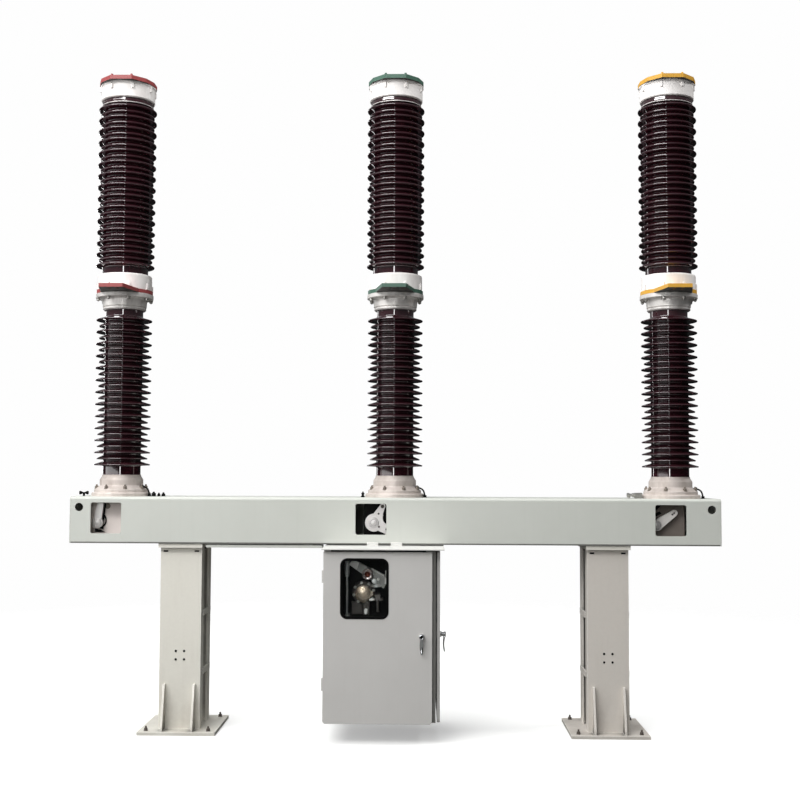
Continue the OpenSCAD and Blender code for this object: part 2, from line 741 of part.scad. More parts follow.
// Side door, hinged on the back wall, with its spindle near the front edge
module side_door() color(cabinet_paint) {
    w = cab_back - side_door_front;
    h = door_top - cab_z;
    difference() {
        along_x(side_door_x, side_door_face) translate([side_door_front, cab_z]) door_outline(w, h, door_corner_r);
        along_x(side_door_x - 1, side_door_face - door_t) translate([side_door_front + door_t, cab_z + door_t])
            door_outline(w - 2 * door_t, h - 2 * door_t, door_corner_r - door_t);
    }
    for (z = [low_hinge_z, high_hinge_z])
        translate([cab_right + hinge_fore, cab_back + hinge_out, cab_z + z + knuckle_h + seat_gap]) difference() {
            linear_extrude(knuckle_h) {
                circle(knuckle_r);
                translate([0, -hinge_out]) square([door_gap + side_door_d - 6, 4]);
            }
            translate([0, 0, -1]) cylinder(r = pin_r + fit_gap, h = knuckle_h + 2);
        }
    translate([side_door_face, side_door_front + handle_inset, cab_z + handle_z]) rotate([90, 0, 90]) handle_spindle();
}
module side_handle() color(handle_chrome)
    translate([side_door_face, side_door_front + handle_inset, cab_z + handle_z]) rotate([90, 0, 90]) handle();

// Mechanism behind the door's window

module mechanism_plate() color(black_paint)
    slab([cab_left + cab_t, mech_front, cab_z + cab_t], [door_right, mech_front + mech_plate_t, roof_under]);
// Places in the mechanism, from the window's lower left corner
arm_left = [pane_left + 45, pane_base + 312];
arm_right = [pane_left + 262, pane_base + 186];
roller_at = [pane_left + 150, pane_base + 242];
cam_at = [pane_left + 124, pane_base + 126];
rod_x = pane_left + 27;
module rocker_arm() color(machined_steel) {
    along_y(arm_front, arm_back) {
        run = arm_right - arm_left;
        translate(arm_left) rotate(atan2(run.y, run.x)) polygon([[0, -18], [norm(run), -34], [norm(run), 30], [0, 26]]);
    }
    along_y(arm_front - 26, arm_back) translate(roller_at) difference() {
        circle(roller_r);
        circle(roller_r - 16);
    }
    along_y(arm_back, mech_front) translate(arm_right - [30, -14]) circle(18);
}
// Teardrop cam on its shaft
module cam_disc() color(passivated_steel) {
    along_y(arm_front - 10, arm_back) translate(cam_at) {
        circle(cam_r);
        polygon([[0, -cam_r], [0, cam_r], [cam_r * 1.25, 8], [cam_r * 1.25, -8]]);
    }
    along_y(arm_back, mech_front) translate(cam_at) circle(20);
}
// Upright rod with a coupling, held by two brackets on the plate
module drive_rod() color(machined_steel) {
    y = arm_front;
    translate([rod_x, y, pane_base - 20]) cylinder(r = drive_rod_r, h = pane_h + 20);
    translate([rod_x, y, pane_base + 242]) cylinder(r = drive_rod_r + 8, h = 50);
    for (z = [pane_base - 20, pane_base + 310]) slab([rod_x - 12, y - 12, z], [rod_x + 12, mech_front, z + 18]);
}
// Angle bracket with the latch's rod and bolt, below the cam
module latch_bracket() color(machined_steel) {
    x = pane_left + 175;
    z = pane_base + 86;
    slab([x, arm_front, z], [x + 66, mech_front, z + 10]);
    slab([x + 20, arm_front, z + 10], [x + 50, mech_front, z + 34]);
    translate([x + 36, arm_front + 16, z - 70]) cylinder(r = 6, h = 70);
    slab([x - 52, arm_front, z - 86], [x - 16, mech_front, z - 10]);
}

at_leg(left) leg();  // left_leg
at_leg(right) leg();  // right_leg
at_leg(left) foot();  // left_foot
at_leg(right) foot();  // right_foot
at_leg(left) head_plate();  // left_head_plate
at_leg(right) head_plate();  // right_head_plate
beam_front_panels();
beam_window_strips();
beam_rear_plate();
beam_top_plate();
beam_bottom_plate();
beam_end_plates();
at_pole(left, 0) pole_base();  // left_pole_base
at_pole(middle, 0) pole_base();  // middle_pole_base
at_pole(right, 0) pole_base();  // right_pole_base
at_pole(left, support_z) support_porcelain();  // left_support_porcelain
at_pole(middle, support_z) support_porcelain();  // middle_support_porcelain
at_pole(right, support_z) support_porcelain();  // right_support_porcelain
at_pole(left, support_cap_z) support_cap();  // left_support_cap
at_pole(middle, support_cap_z) support_cap();  // middle_support_cap
at_pole(right, support_cap_z) support_cap();  // right_support_cap
at_pole(left, terminal_z) line_terminal(phase_red);  // left_line_terminal
at_pole(middle, terminal_z) line_terminal(phase_green);  // middle_line_terminal
at_pole(right, terminal_z) line_terminal(phase_yellow);  // right_line_terminal
at_pole(left, interrupter_base_z) interrupter_base();  // left_interrupter_base
at_pole(middle, interrupter_base_z) interrupter_base();  // middle_interrupter_base
at_pole(right, interrupter_base_z) interrupter_base();  // right_interrupter_base
at_pole(left, interrupter_z) interrupter_porcelain();  // left_interrupter_porcelain
at_pole(middle, interrupter_z) interrupter_porcelain();  // middle_interrupter_porcelain
at_pole(right, interrupter_z) interrupter_porcelain();  // right_interrupter_porcelain
at_pole(left, top_cap_z) top_cap();  // left_top_cap
at_pole(middle, top_cap_z) top_cap();  // middle_top_cap
at_pole(right, top_cap_z) top_cap();  // right_top_cap
at_pole(left, top_terminal_z) top_terminal(phase_red);  // left_top_terminal
at_pole(middle, top_terminal_z) top_terminal(phase_green);  // middle_top_terminal
at_pole(right, top_terminal_z) top_terminal(phase_yellow);  // right_top_terminal
left_crank();
middle_crank();
right_crank();
crank_housing(left, side_shaft_x, side_shaft_z);  // left_crank_housing
crank_housing(middle, middle_shaft_x, middle_shaft_z);  // middle_crank_housing
crank_housing(right, side_shaft_x, side_shaft_z);  // right_crank_housing
cabinet_left_wall();
cabinet_back_wall();
cabinet_floor();
cabinet_roof();
cabinet_right_post();
hanger_rails();
wiring_duct();
front_door();
door_glass();
window_gasket();
front_handle();
side_door();
side_handle();
mechanism_plate();
rocker_arm();
cam_disc();
drive_rod();
latch_bracket();
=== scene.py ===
"""Looks of an outdoor three-pole gas circuit breaker, built around its fixed frame of solids."""
from __future__ import annotations

import json
import logging
import math
from dataclasses import dataclass
from enum import Enum
from functools import lru_cache
from typing import Iterable, Sequence

import bpy
import numpy as np
from mathutils import Matrix, Vector

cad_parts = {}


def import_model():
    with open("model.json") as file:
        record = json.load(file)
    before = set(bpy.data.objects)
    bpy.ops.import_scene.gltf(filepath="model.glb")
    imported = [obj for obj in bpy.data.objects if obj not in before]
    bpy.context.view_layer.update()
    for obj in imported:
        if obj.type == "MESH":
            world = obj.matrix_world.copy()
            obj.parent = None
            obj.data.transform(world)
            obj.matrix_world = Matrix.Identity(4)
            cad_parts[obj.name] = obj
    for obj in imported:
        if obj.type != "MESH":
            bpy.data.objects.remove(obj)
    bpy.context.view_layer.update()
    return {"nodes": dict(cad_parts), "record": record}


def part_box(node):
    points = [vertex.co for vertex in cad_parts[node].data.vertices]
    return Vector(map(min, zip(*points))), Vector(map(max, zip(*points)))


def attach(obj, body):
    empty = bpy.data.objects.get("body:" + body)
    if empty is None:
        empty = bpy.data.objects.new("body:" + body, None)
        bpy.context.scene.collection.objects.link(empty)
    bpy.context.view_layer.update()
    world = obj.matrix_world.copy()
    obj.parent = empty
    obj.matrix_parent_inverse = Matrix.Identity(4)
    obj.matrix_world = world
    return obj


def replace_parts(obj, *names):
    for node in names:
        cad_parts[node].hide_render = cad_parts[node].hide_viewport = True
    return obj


LOG = logging.getLogger("breaker")
MM = 0.001
Point = tuple[float, float]
Corner = tuple[float, float, float]
Tree = bpy.types.NodeTree
Node = bpy.types.Node
Socket = bpy.types.NodeSocket
# Turns that lay a drawing on a plane which faces the front or the right
FRONTWARD = Matrix.Rotation(math.pi / 2, 4, "X")
RIGHTWARD = Matrix(((0, 0, 1, 0), (1, 0, 0, 0), (0, 1, 0, 0), (0, 0, 0, 1)))


class Pole(Enum):
    """The three poles."""

    LEFT = "left"
    MIDDLE = "middle"
    RIGHT = "right"


class Side(Enum):
    """The two legs."""

    LEFT = "left"
    RIGHT = "right"


def linear(hex_colour: str) -> tuple[float, float, float, float]:
    """Turn an sRGB hex colour into linear light.

    Args:
        hex_colour: Six hex digits after a hash sign.

    Returns:
        Red, green, blue and an alpha of one.
    """
    values = [int(hex_colour[n:n + 2], 16) / 255 for n in (1, 3, 5)]
    red, green, blue = [v / 12.92 if v <= 0.04045 else ((v + 0.055) / 1.055) ** 2.4 for v in values]
    return red, green, blue, 1.0


def per_metre(size_mm: float) -> float:
    """Scale of a pattern whose features are this many millimetres across."""
    return 1 / (size_mm * MM)


def add_node(tree: Tree, kind: str, inputs: dict | None = None, **settings: object) -> Node:
    """Add a node with its settings and links.

    Args:
        tree: The tree that takes the node.
        kind: Blender's name of the node type.
        inputs: A value, or another node's output, for each socket by name or number.
        settings: Attributes of the node.

    Returns:
        The new node.
    """
    node = tree.nodes.new(kind)
    for name, value in settings.items():
        setattr(node, name, value)
    for key, value in (inputs or {}).items():
        if isinstance(value, Socket):
            tree.links.new(value, node.inputs[key])
        else:
            node.inputs[key].default_value = value
    return node


@dataclass(frozen=True)
class Finish:
    """A surface: what it is made of, its colour and how light meets it."""

    name: str
    slot: str
    colour: str
    roughness: float
    metallic: float = 0.0

    def material(self) -> bpy.types.Material:
        """Make the material, once, or fetch it."""
        found = bpy.data.materials.get(self.name)
        if found:
            return found
        material = bpy.data.materials.new(self.name)
        material.use_nodes = True
        material.diffuse_color = linear(self.colour)
        tree = material.node_tree
        shader = tree.nodes["Principled BSDF"]
        shader.inputs["Base Color"].default_value = linear(self.colour)
        shader.inputs["Roughness"].default_value = self.roughness
        shader.inputs["Metallic"].default_value = self.metallic
        self.detail(tree, shader)
        return material

    def detail(self, tree: Tree, shader: Node) -> None:
        """Add what the surface shows beyond its plain colour.

        Args:
            tree: The material's tree.
            shader: Its principled shader.
        """

    def spot(self, tree: Tree, stretch: Corner = (1.0, 1.0, 1.0)) -> Socket:
        """Place in the piece's own frame, stretched along its axes.

        Args:
            tree: The material's tree.
            stretch: How much finer the pattern is along each axis.

        Returns:
            The place as a vector output.
        """
        place = add_node(tree, "ShaderNodeTexCoord").outputs["Object"]
        return add_node(tree, "ShaderNodeMapping", {"Vector": place, "Scale": stretch}).outputs["Vector"]

    def cover(
        self, tree: Tree, under: Socket | Sequence[float], over: str, pattern: Socket,
        span: Point = (0.0, 1.0), share: float = 1.0,
    ) -> Socket:
        """Lay a colour over another one where a pattern is strong.

        Args:
            tree: The material's tree.
            under: The colour below.
            over: The colour on top, as a hex string.
            pattern: Strength of the pattern.
            span: Strengths at which the top colour starts and is full.
            share: How much of it shows where it is full.

        Returns:
            The mixed colour.
        """
        mask = add_node(tree, "ShaderNodeMapRange", {
            "Value": pattern, "From Min": span[0], "From Max": span[1], "To Max": share,
        })
        return add_node(tree, "ShaderNodeMix", {
            "Factor": mask.outputs["Result"], "A": under, "B": linear(over),
        }, data_type="RGBA").outputs["Result"]

    def vary_gloss(self, tree: Tree, shader: Node, pattern: Socket, steps: Point) -> None:
        """Let a pattern change the roughness.

        Args:
            tree: The material's tree.
            shader: Its principled shader.
            pattern: Strength of the pattern.
            steps: Changes of the roughness where the pattern is weakest and where it is strongest.
        """
        gloss = add_node(tree, "ShaderNodeMapRange", {
            "Value": pattern, "To Min": self.roughness + steps[0], "To Max": self.roughness + steps[1],
        })
        tree.links.new(gloss.outputs["Result"], shader.inputs["Roughness"])

    def emboss(
        self, tree: Tree, shader: Node, pattern: Socket,
        strength: float, depth_mm: float, edge_mm: float = 0.0,
    ) -> None:
        """Press a pattern into the surface.

        Args:
            tree: The material's tree.
            shader: Its principled shader.
            pattern: Height of the pattern.
            strength: How strongly it shows.
            depth_mm: Its real depth.
            edge_mm: Radius that the surface's edges seem to have.
        """
        inputs = {"Height": pattern, "Strength": strength, "Distance": depth_mm * MM}
        if edge_mm:
            edge = add_node(tree, "ShaderNodeBevel", {"Radius": edge_mm * MM}, samples=4)
            inputs["Normal"] = edge.outputs["Normal"]
        bump = add_node(tree, "ShaderNodeBump", inputs)
        tree.links.new(bump.outputs["Normal"], shader.inputs["Normal"])


@dataclass(frozen=True)
class Enamel(Finish):
    """Sprayed enamel on folded sheet: soft gloss, faint orange peel, cloudy fading and rain streaks."""

    shade: str = "#8f918c"
    streak: float = 0.18
    peel_mm: float = 5.0
    cloud_mm: float = 420.0
    streak_mm: float = 26.0
    edge_mm: float = 2.5

    def detail(self, tree: Tree, shader: Node) -> None:
        """Cloud the colour, run streaks down it and ripple it like sprayed paint."""
        cloud = add_node(tree, "ShaderNodeTexNoise", {
            "Vector": self.spot(tree), "Scale": per_metre(self.cloud_mm), "Detail": 5.0, "Roughness": 0.6,
        }).outputs["Fac"]
        runs = add_node(tree, "ShaderNodeTexNoise", {
            "Vector": self.spot(tree, (1.0, 1.0, 0.05)), "Scale": per_metre(self.streak_mm), "Detail": 3.0,
        }).outputs["Fac"]
        peel = add_node(tree, "ShaderNodeTexNoise", {
            "Vector": self.spot(tree), "Scale": per_metre(self.peel_mm), "Detail": 1.0,
        }).outputs["Fac"]
        faded = self.cover(tree, linear(self.colour), self.shade, cloud, (0.35, 0.72), 0.22)
        streaked = self.cover(tree, faded, self.shade, runs, (0.52, 0.78), self.streak)
        tree.links.new(streaked, shader.inputs["Base Color"])
        self.vary_gloss(tree, shader, cloud, (-0.06, 0.12))
        self.emboss(tree, shader, peel, 0.06, 0.4, self.edge_mm)


@dataclass(frozen=True)
class PhasePaint(Enamel):
    """Enamel brushed on a terminal's edges and top; what faces down is darkened to near black as painted
    shade.
    """

    # Near black laid on what faces down: painted shade on the terminal's underside
    under: str = "#3a3733"

    def detail(self, tree: Tree, shader: Node) -> None:
        """Paint shade on what faces down."""
        super().detail(tree, shader)
        painted = shader.inputs["Base Color"].links[0].from_socket
        upward = add_node(tree, "ShaderNodeSeparateXYZ", {
            "Vector": add_node(tree, "ShaderNodeNewGeometry").outputs["True Normal"],
        })
        # Painted shade: what faces down goes to the near black
        shaded_below = self.cover(tree, painted, self.under, upward.outputs["Z"], (-0.4, -0.8))
        tree.links.new(shaded_below, shader.inputs["Base Color"])


@dataclass(frozen=True)
class HotDipZinc(Finish):
    """Hot-dip galvanised steel: dull crystals, slow waves and runs, a painted reflection of the ground
    towards the foot, painted shade in the hollows and painted highlights on the edges.
    """

    # Colour of the stains that run down, and of the painted reflection of the ground towards the foot
    stain_and_reflection: str = "#a1968a"
    # Near black laid where the surface is shut in: painted shade in the hollows
    hollow_shade: str = "#1b1a19"
    # Pale colour laid on the edges: a painted highlight
    edge_highlight: str = "#f7f4ee"
    crystal_mm: float = 14.0
    run_mm: float = 40.0
    run_share: float = 0.16
    cloud_mm: float = 260.0
    hollow_shade_mm: float = 260.0
    edge_mm: float = 2.0
    edge_highlight_mm: float = 7.0
    ground_reflection_mm: Point = (20.0, 420.0)
    ground_reflection_share: float = 0.4

    def detail(self, tree: Tree, shader: Node) -> None:
        """Stain the crystals, paint the ground's reflection low down, paint shade into the hollows, paint
        highlights on the edges and roughen the skin.
        """
        cloud = add_node(tree, "ShaderNodeTexNoise", {
            "Vector": self.spot(tree), "Scale": per_metre(self.cloud_mm), "Detail": 6.0, "Roughness": 0.65,
        }).outputs["Fac"]
        stained_and_reflected = add_node(tree, "ShaderNodeMix", {
            "Factor": self.stain_and_reflection_mask(tree, cloud), "A": self.crystals(tree), "B": linear(self.stain_and_reflection),
        }, data_type="RGBA").outputs["Result"]
        # Painted shade: the colour darkens to near black where the piece shuts itself in
        shut_in = add_node(tree, "ShaderNodeAmbientOcclusion", {
            "Distance": self.hollow_shade_mm * MM,
        }, samples=8, only_local=True)
        hollow_shaded = self.cover(tree, stained_and_reflected, self.hollow_shade, shut_in.outputs["AO"], (0.8, 0.4))
        # Painted highlight: edges go pale where the rounded normal turns away from the face's own
        rounded = add_node(tree, "ShaderNodeBevel", {"Radius": self.edge_highlight_mm * MM}, samples=6)
        face = add_node(tree, "ShaderNodeNewGeometry")
        agree = add_node(tree, "ShaderNodeVectorMath", {
            0: rounded.outputs["Normal"], 1: face.outputs["True Normal"],
        }, operation="DOT_PRODUCT")
        skin = self.cover(tree, hollow_shaded, self.edge_highlight, agree.outputs["Value"], (0.98, 0.9), 0.85)
        tree.links.new(skin, shader.inputs["Base Color"])
        self.vary_gloss(tree, shader, cloud, (-0.12, 0.12))
        self.emboss(tree, shader, cloud, 0.1, 3.0, self.edge_mm)

    def crystals(self, tree: Tree) -> Socket:
        """Colour of the zinc, a shade lighter or darker from crystal to crystal."""
        cells = add_node(tree, "ShaderNodeTexVoronoi", {
            "Vector": self.spot(tree), "Scale": per_metre(self.crystal_mm), "Randomness": 1.0,
        })
        tone = add_node(tree, "ShaderNodeSeparateColor", {"Color": cells.outputs["Color"]})
        bright = add_node(tree, "ShaderNodeMapRange", {
            "Value": tone.outputs["Red"], "To Min": 0.99, "To Max": 1.01,
        })
        return add_node(tree, "ShaderNodeMix", {
            "Factor": 1.0, "A": linear(self.colour), "B": bright.outputs["Result"],
        }, data_type="RGBA", blend_type="MULTIPLY").outputs["Result"]

    def stain_and_reflection_mask(self, tree: Tree, cloud: Socket) -> Socket:
        """Where stains run down, and where the zinc browns towards the ground as a painted reflection of it.

        Args:
            tree: The material's tree.
            cloud: The slow pattern that breaks both up.

        Returns:
            How strong the stain and the painted reflection are.
        """
        runs = add_node(tree, "ShaderNodeTexNoise", {
            "Vector": self.spot(tree, (1.0, 1.0, 0.08)), "Scale": per_metre(self.run_mm), "Detail": 4.0,
        })
        run_mask = add_node(tree, "ShaderNodeMapRange", {
            "Value": runs.outputs["Fac"], "From Min": 0.5, "From Max": 0.75, "To Max": self.run_share,
        })
        height = add_node(tree, "ShaderNodeSeparateXYZ", {"Vector": self.spot(tree)})
        # Painted reflection of the ground: browner the nearer the foot
        low, high = self.ground_reflection_mm
        ground_reflection = add_node(tree, "ShaderNodeMapRange", {
            "Value": height.outputs["Z"], "From Min": high * MM, "From Max": low * MM,
            "To Max": self.ground_reflection_share,
        }, interpolation_type="SMOOTHSTEP")
        both = add_node(tree, "ShaderNodeMath", {
            0: run_mask.outputs["Result"], 1: ground_reflection.outputs["Result"],
        }, operation="ADD")
        cloud_mask = add_node(tree, "ShaderNodeMapRange", {"Value": cloud, "From Min": 0.4, "From Max": 0.7})
        return add_node(tree, "ShaderNodeMath", {
            0: both.outputs["Value"], 1: cloud_mask.outputs["Result"],
        }, operation="MULTIPLY").outputs["Value"]


@dataclass(frozen=True)
class BrownGlaze(Finish):
    """Fired brown glaze on porcelain: near black, wet gloss, slight ripples, and dust on what faces up."""

    light: str = "#3d161f"
    dust: str = "#6c625d"
    pool_mm: float = 45.0
    ripple_mm: float = 30.0
    dust_share: float = 0.05
    dust_roughness: float = 0.6

    def detail(self, tree: Tree, shader: Node) -> None:
        """Pool the glaze, ripple it and dust the upper faces."""
        shader.inputs["IOR"].default_value = 1.6
        shader.inputs["Coat Weight"].default_value = 1.0
        shader.inputs["Coat IOR"].default_value = 1.7
        shader.inputs["Coat Roughness"].default_value = 0.03
        pools = add_node(tree, "ShaderNodeTexNoise", {
            "Vector": self.spot(tree), "Scale": per_metre(self.pool_mm), "Detail": 4.0,
        }).outputs["Fac"]
        ripple = add_node(tree, "ShaderNodeTexNoise", {
            "Vector": self.spot(tree), "Scale": per_metre(self.ripple_mm), "Detail": 1.0,
        }).outputs["Fac"]
        upward = add_node(tree, "ShaderNodeSeparateXYZ", {
            "Vector": add_node(tree, "ShaderNodeNewGeometry").outputs["Normal"],
        })
        up_mask = add_node(tree, "ShaderNodeMapRange", {
            "Value": upward.outputs["Z"], "From Min": 0.45, "From Max": 0.95, "To Max": self.dust_share,
        })
        dusted = add_node(tree, "ShaderNodeMath", {
            0: up_mask.outputs["Result"], 1: pools,
        }, operation="MULTIPLY").outputs["Value"]
        deep = self.cover(tree, linear(self.colour), self.light, pools)
        dusty = self.cover(tree, deep, self.dust, dusted)
        tree.links.new(dusty, shader.inputs["Base Color"])
        self.vary_gloss(tree, shader, dusted, (0.0, self.dust_roughness - self.roughness))
        self.emboss(tree, shader, ripple, 0.08, 1.0)


@dataclass(frozen=True)
class SandCasting(Finish):
    """Sand-cast aluminium, weathered: pale matt grey with a fine pebble of mould grains and damp patches."""

    damp: str = "#8d8a86"
    grain_mm: float = 3.0
    patch_mm: float = 70.0
    edge_mm: float = 2.0

    def detail(self, tree: Tree, shader: Node) -> None:
        """Pebble the skin and patch it with damp."""
        patches = add_node(tree, "ShaderNodeTexNoise", {
            "Vector": self.spot(tree, (1.0, 1.0, 0.4)), "Scale": per_metre(self.patch_mm),
            "Detail": 6.0, "Roughness": 0.6,
        }).outputs["Fac"]
        grain = add_node(tree, "ShaderNodeTexNoise", {
            "Vector": self.spot(tree), "Scale": per_metre(self.grain_mm), "Detail": 2.0,
        }).outputs["Fac"]
        tone = self.cover(tree, linear(self.colour), self.damp, patches, (0.42, 0.75), 0.55)
        tree.links.new(tone, shader.inputs["Base Color"])
        self.vary_gloss(tree, shader, patches, (-0.1, 0.15))
        self.emboss(tree, shader, grain, 0.18, 0.5, self.edge_mm)


@dataclass(frozen=True)
class CutSteel(Finish):
    """Machined or plated steel: bright, with tool marks drawn a little coarser than real ones, to show."""

    mark_mm: float = 1.6
    smear_mm: float = 30.0
    oil: str = "#6b6258"
    oil_share: float = 0.35
    edge_mm: float = 1.0

    def detail(self, tree: Tree, shader: Node) -> None:
        """Draw the tool marks and smear some oil."""
        marks = add_node(tree, "ShaderNodeTexNoise", {
            "Vector": self.spot(tree, (0.08, 1.0, 1.0)), "Scale": per_metre(self.mark_mm), "Detail": 2.0,
        }).outputs["Fac"]
        smear = add_node(tree, "ShaderNodeTexNoise", {
            "Vector": self.spot(tree), "Scale": per_metre(self.smear_mm), "Detail": 4.0,
        }).outputs["Fac"]
        tone = self.cover(tree, linear(self.colour), self.oil, smear, (0.5, 0.8), self.oil_share)
        tree.links.new(tone, shader.inputs["Base Color"])
        self.vary_gloss(tree, shader, marks, (-0.08, 0.12))
        self.emboss(tree, shader, marks, 0.08, 0.2, self.edge_mm)


@dataclass(frozen=True)
class MattBlack(Finish):
    """Matt paint, primer or moulded rubber, mostly black: a dusty skin that catches little light."""

    sheen: float = 0.2
    dust: str = "#121111"
    dust_mm: float = 60.0
    skin_mm: float = 2.5

    def detail(self, tree: Tree, shader: Node) -> None:
        """Dust the skin and roughen it."""
        shader.inputs["Specular IOR Level"].default_value = self.sheen
        patches = add_node(tree, "ShaderNodeTexNoise", {
            "Vector": self.spot(tree), "Scale": per_metre(self.dust_mm), "Detail": 5.0,
        }).outputs["Fac"]
        skin = add_node(tree, "ShaderNodeTexNoise", {
            "Vector": self.spot(tree), "Scale": per_metre(self.skin_mm),
        }).outputs["Fac"]
        tone = self.cover(tree, linear(self.colour), self.dust, patches, (0.45, 0.8), 0.5)
        tree.links.new(tone, shader.inputs["Base Color"])
        self.emboss(tree, shader, skin, 0.1, 0.3)


@dataclass(frozen=True)
class FloatGlass(Finish):
    """Clear float glass with a film of dust."""

    film_mm: float = 90.0
    film_roughness: float = 0.06

    def detail(self, tree: Tree, shader: Node) -> None:
        """Let light through and haze it unevenly."""
        shader.inputs["IOR"].default_value = 1.45
        shader.inputs["Transmission Weight"].default_value = 1.0
        shader.inputs["Specular IOR Level"].default_value = 0.3
        film = add_node(tree, "ShaderNodeTexNoise", {
            "Vector": self.spot(tree), "Scale": per_metre(self.film_mm), "Detail": 3.0,
        })
        haze = add_node(tree, "ShaderNodeMapRange", {
            "Value": film.outputs["Fac"], "From Min": 0.5, "From Max": 0.8,
            "To Min": self.roughness, "To Max": self.film_roughness,
        })
        tree.links.new(haze.outputs["Result"], shader.inputs["Roughness"])
        clear = add_node(tree, "ShaderNodeBsdfTransparent")
        path = add_node(tree, "ShaderNodeLightPath")
        both = add_node(tree, "ShaderNodeMixShader", {
            0: path.outputs["Is Shadow Ray"], 1: shader.outputs["BSDF"], 2: clear.outputs["BSDF"],
        })
        tree.links.new(both.outputs["Shader"], tree.nodes["Material Output"].inputs["Surface"])


# Satin grey-green enamel, sprayed on the beam's folded sheet and long out in the sun
BEAM_ENAMEL = Enamel("grey_green_enamel", "beam_paint", "#c6c8c1", 0.42, shade="#aeb1a8", streak=0.08)
# Satin neutral grey enamel on the cabinet's folded sheet
CABINET_ENAMEL = Enamel("grey_enamel", "cabinet_paint", "#bfbdba", 0.4, shade="#a5a39f", streak=0.06)
# Dull zinc from the dipping bath, a little warm from weather
LEG_ZINC = HotDipZinc("hot_dip_zinc", "galvanised_steel", "#dcd9cf", 0.5, 0.15)
# The same zinc on the other leg, duller and browner
DULL_ZINC = HotDipZinc("dull_hot_dip_zinc", "galvanised_steel", "#d3cdc5", 0.5, 0.2, stain_and_reflection="#988b80")
# Beam enamel, darker, on the beam's bottom plate along its lower edge
DARK_BOTTOM_ENAMEL = Enamel("dark_bottom_enamel", "beam_paint", "#6a6a66", 0.6, shade="#4b4a47", streak=0.3)
# Maroon-brown glaze, almost black where it is thick
GLAZE = BrownGlaze("brown_porcelain_glaze", "porcelain_glaze", "#220a11", 0.07)
# Sand-cast aluminium of the flanged fittings, blasted to a metal sheen
CASTING = SandCasting("blasted_cast_aluminium", "cast_aluminium", "#f0ece8", 0.36, 0.35)
# The same casting on the pole bases, warm with dust
BASE_CASTING = SandCasting("dusty_cast_aluminium", "cast_aluminium", "#d9cfc8", 0.52, 0.35, damp="#97897f")
# The same casting under a pale wash of paint, on the caps above the terminals
CAP_CASTING = SandCasting("washed_cast_aluminium", "cast_aluminium", "#f5f1ee", 0.5, 0.0, damp="#c9c2bd")
# Cabinet enamel on the post between the doors, darkened as the painted shadow of the door beside it
SHADED_POST_ENAMEL = Enamel("shaded_post_enamel", "cabinet_paint", "#8f8e8a", 0.5, shade="#75746f", streak=0.2)
# Cabinet enamel on the roof, lightened as painted light falling on it from above
LIT_ROOF_ENAMEL = Enamel("lit_roof_enamel", "cabinet_paint", "#d3d2ce", 0.4, shade="#b9b8b3", streak=0.05)
# Fresh zinc on the rails that carry the cabinet
RAIL_ZINC = HotDipZinc("fresh_hot_dip_zinc", "galvanised_steel", "#d6d5d1", 0.45, 0.2, stain_and_reflection="#a09a93")
# Phase paints, brushed on and faded
PHASE_RED = PhasePaint("faded_red_enamel", "phase_red", "#9d4a4a", 0.45, shade="#7d4341", peel_mm=8.0)
PHASE_GREEN = PhasePaint("green_enamel", "phase_green", "#48695a", 0.45, shade="#4f6057", peel_mm=8.0)
PHASE_YELLOW = PhasePaint("yellow_enamel", "phase_yellow", "#d9a43d", 0.45, shade="#b18a3c", peel_mm=8.0)
# Machined steel levers and rods, oiled
LEVER_STEEL = CutSteel("machined_steel", "machined_steel", "#bdb3a9", 0.4, 0.7)
# The same steel under sprayed zinc, paler and matt, on the right crank
SPRAYED_STEEL = CutSteel(
    "zinc_sprayed_steel", "machined_steel", "#e6e1dc", 0.5, 0.1, oil="#a39b93", oil_share=0.25,
)
# Black painted castings inside the beam and the cabinet
BLACK_CASTING = MattBlack("black_painted_casting", "black_paint", "#060606", 0.5, sheen=0.12)
# Moulded rubber of seals and hoses
SEAL_RUBBER = MattBlack("moulded_rubber", "black_rubber", "#040404", 0.7, sheen=0.06, dust="#0a0a0a")
# Clear float glass of the inspection pane
PANE_GLASS = FloatGlass("float_glass", "window_glass", "#eef4f4", 0.01)
# Chromed zinc handles, polished
CHROME = CutSteel("polished_chrome", "handle_chrome", "#dcdddf", 0.12, 1.0, oil_share=0.1, smear_mm=12.0)
# Zinc with a yellow passivated skin, on the cam
PASSIVATED = CutSteel(
    "yellow_passivated_zinc", "passivated_steel", "#cdbba8", 0.24, 0.9,
    oil="#a86a3c", oil_share=0.7, smear_mm=90.0, mark_mm=0.6,
)
# Hardened steel of the roller, polished by the cam and tinted by its grease
ROLLER_STEEL = CutSteel(
    "polished_roller_steel", "machined_steel", "#d9c4c0", 0.16, 0.9, oil="#8a6a64", smear_mm=25.0,
)
# Oiled bronze of the roller's bush, dark red-brown
BRONZE = CutSteel(
    "oiled_bronze", "passivated_steel", "#6d3a30", 0.3, 0.9, oil="#2e1512", oil_share=0.6, smear_mm=20.0,
)
# The rocker arm's cut plate, greyed by old oil
ARM_STEEL = CutSteel(
    "oiled_steel_plate", "machined_steel", "#94908c", 0.44, 0.5, oil="#5c5651", smear_mm=50.0,
)
# Bright zinc plate on bolts, nuts and washers
BOLT_ZINC = CutSteel("zinc_plated_bolts", "galvanised_steel", "#b9b7b2", 0.36, 0.85, smear_mm=8.0)
# The same plate on the bases' bolts, dark with weather
WEATHERED_ZINC = CutSteel(
    "weathered_zinc_bolts", "galvanised_steel", "#8a8177", 0.5, 0.4,
    oil="#4d443c", oil_share=0.6, smear_mm=8.0,
)
# Oiled dark steel of bearings and latches, blued by heat
DARK_STEEL = CutSteel("blued_steel", "machined_steel", "#56504c", 0.36, 0.45, oil="#332e2a", smear_mm=20.0)
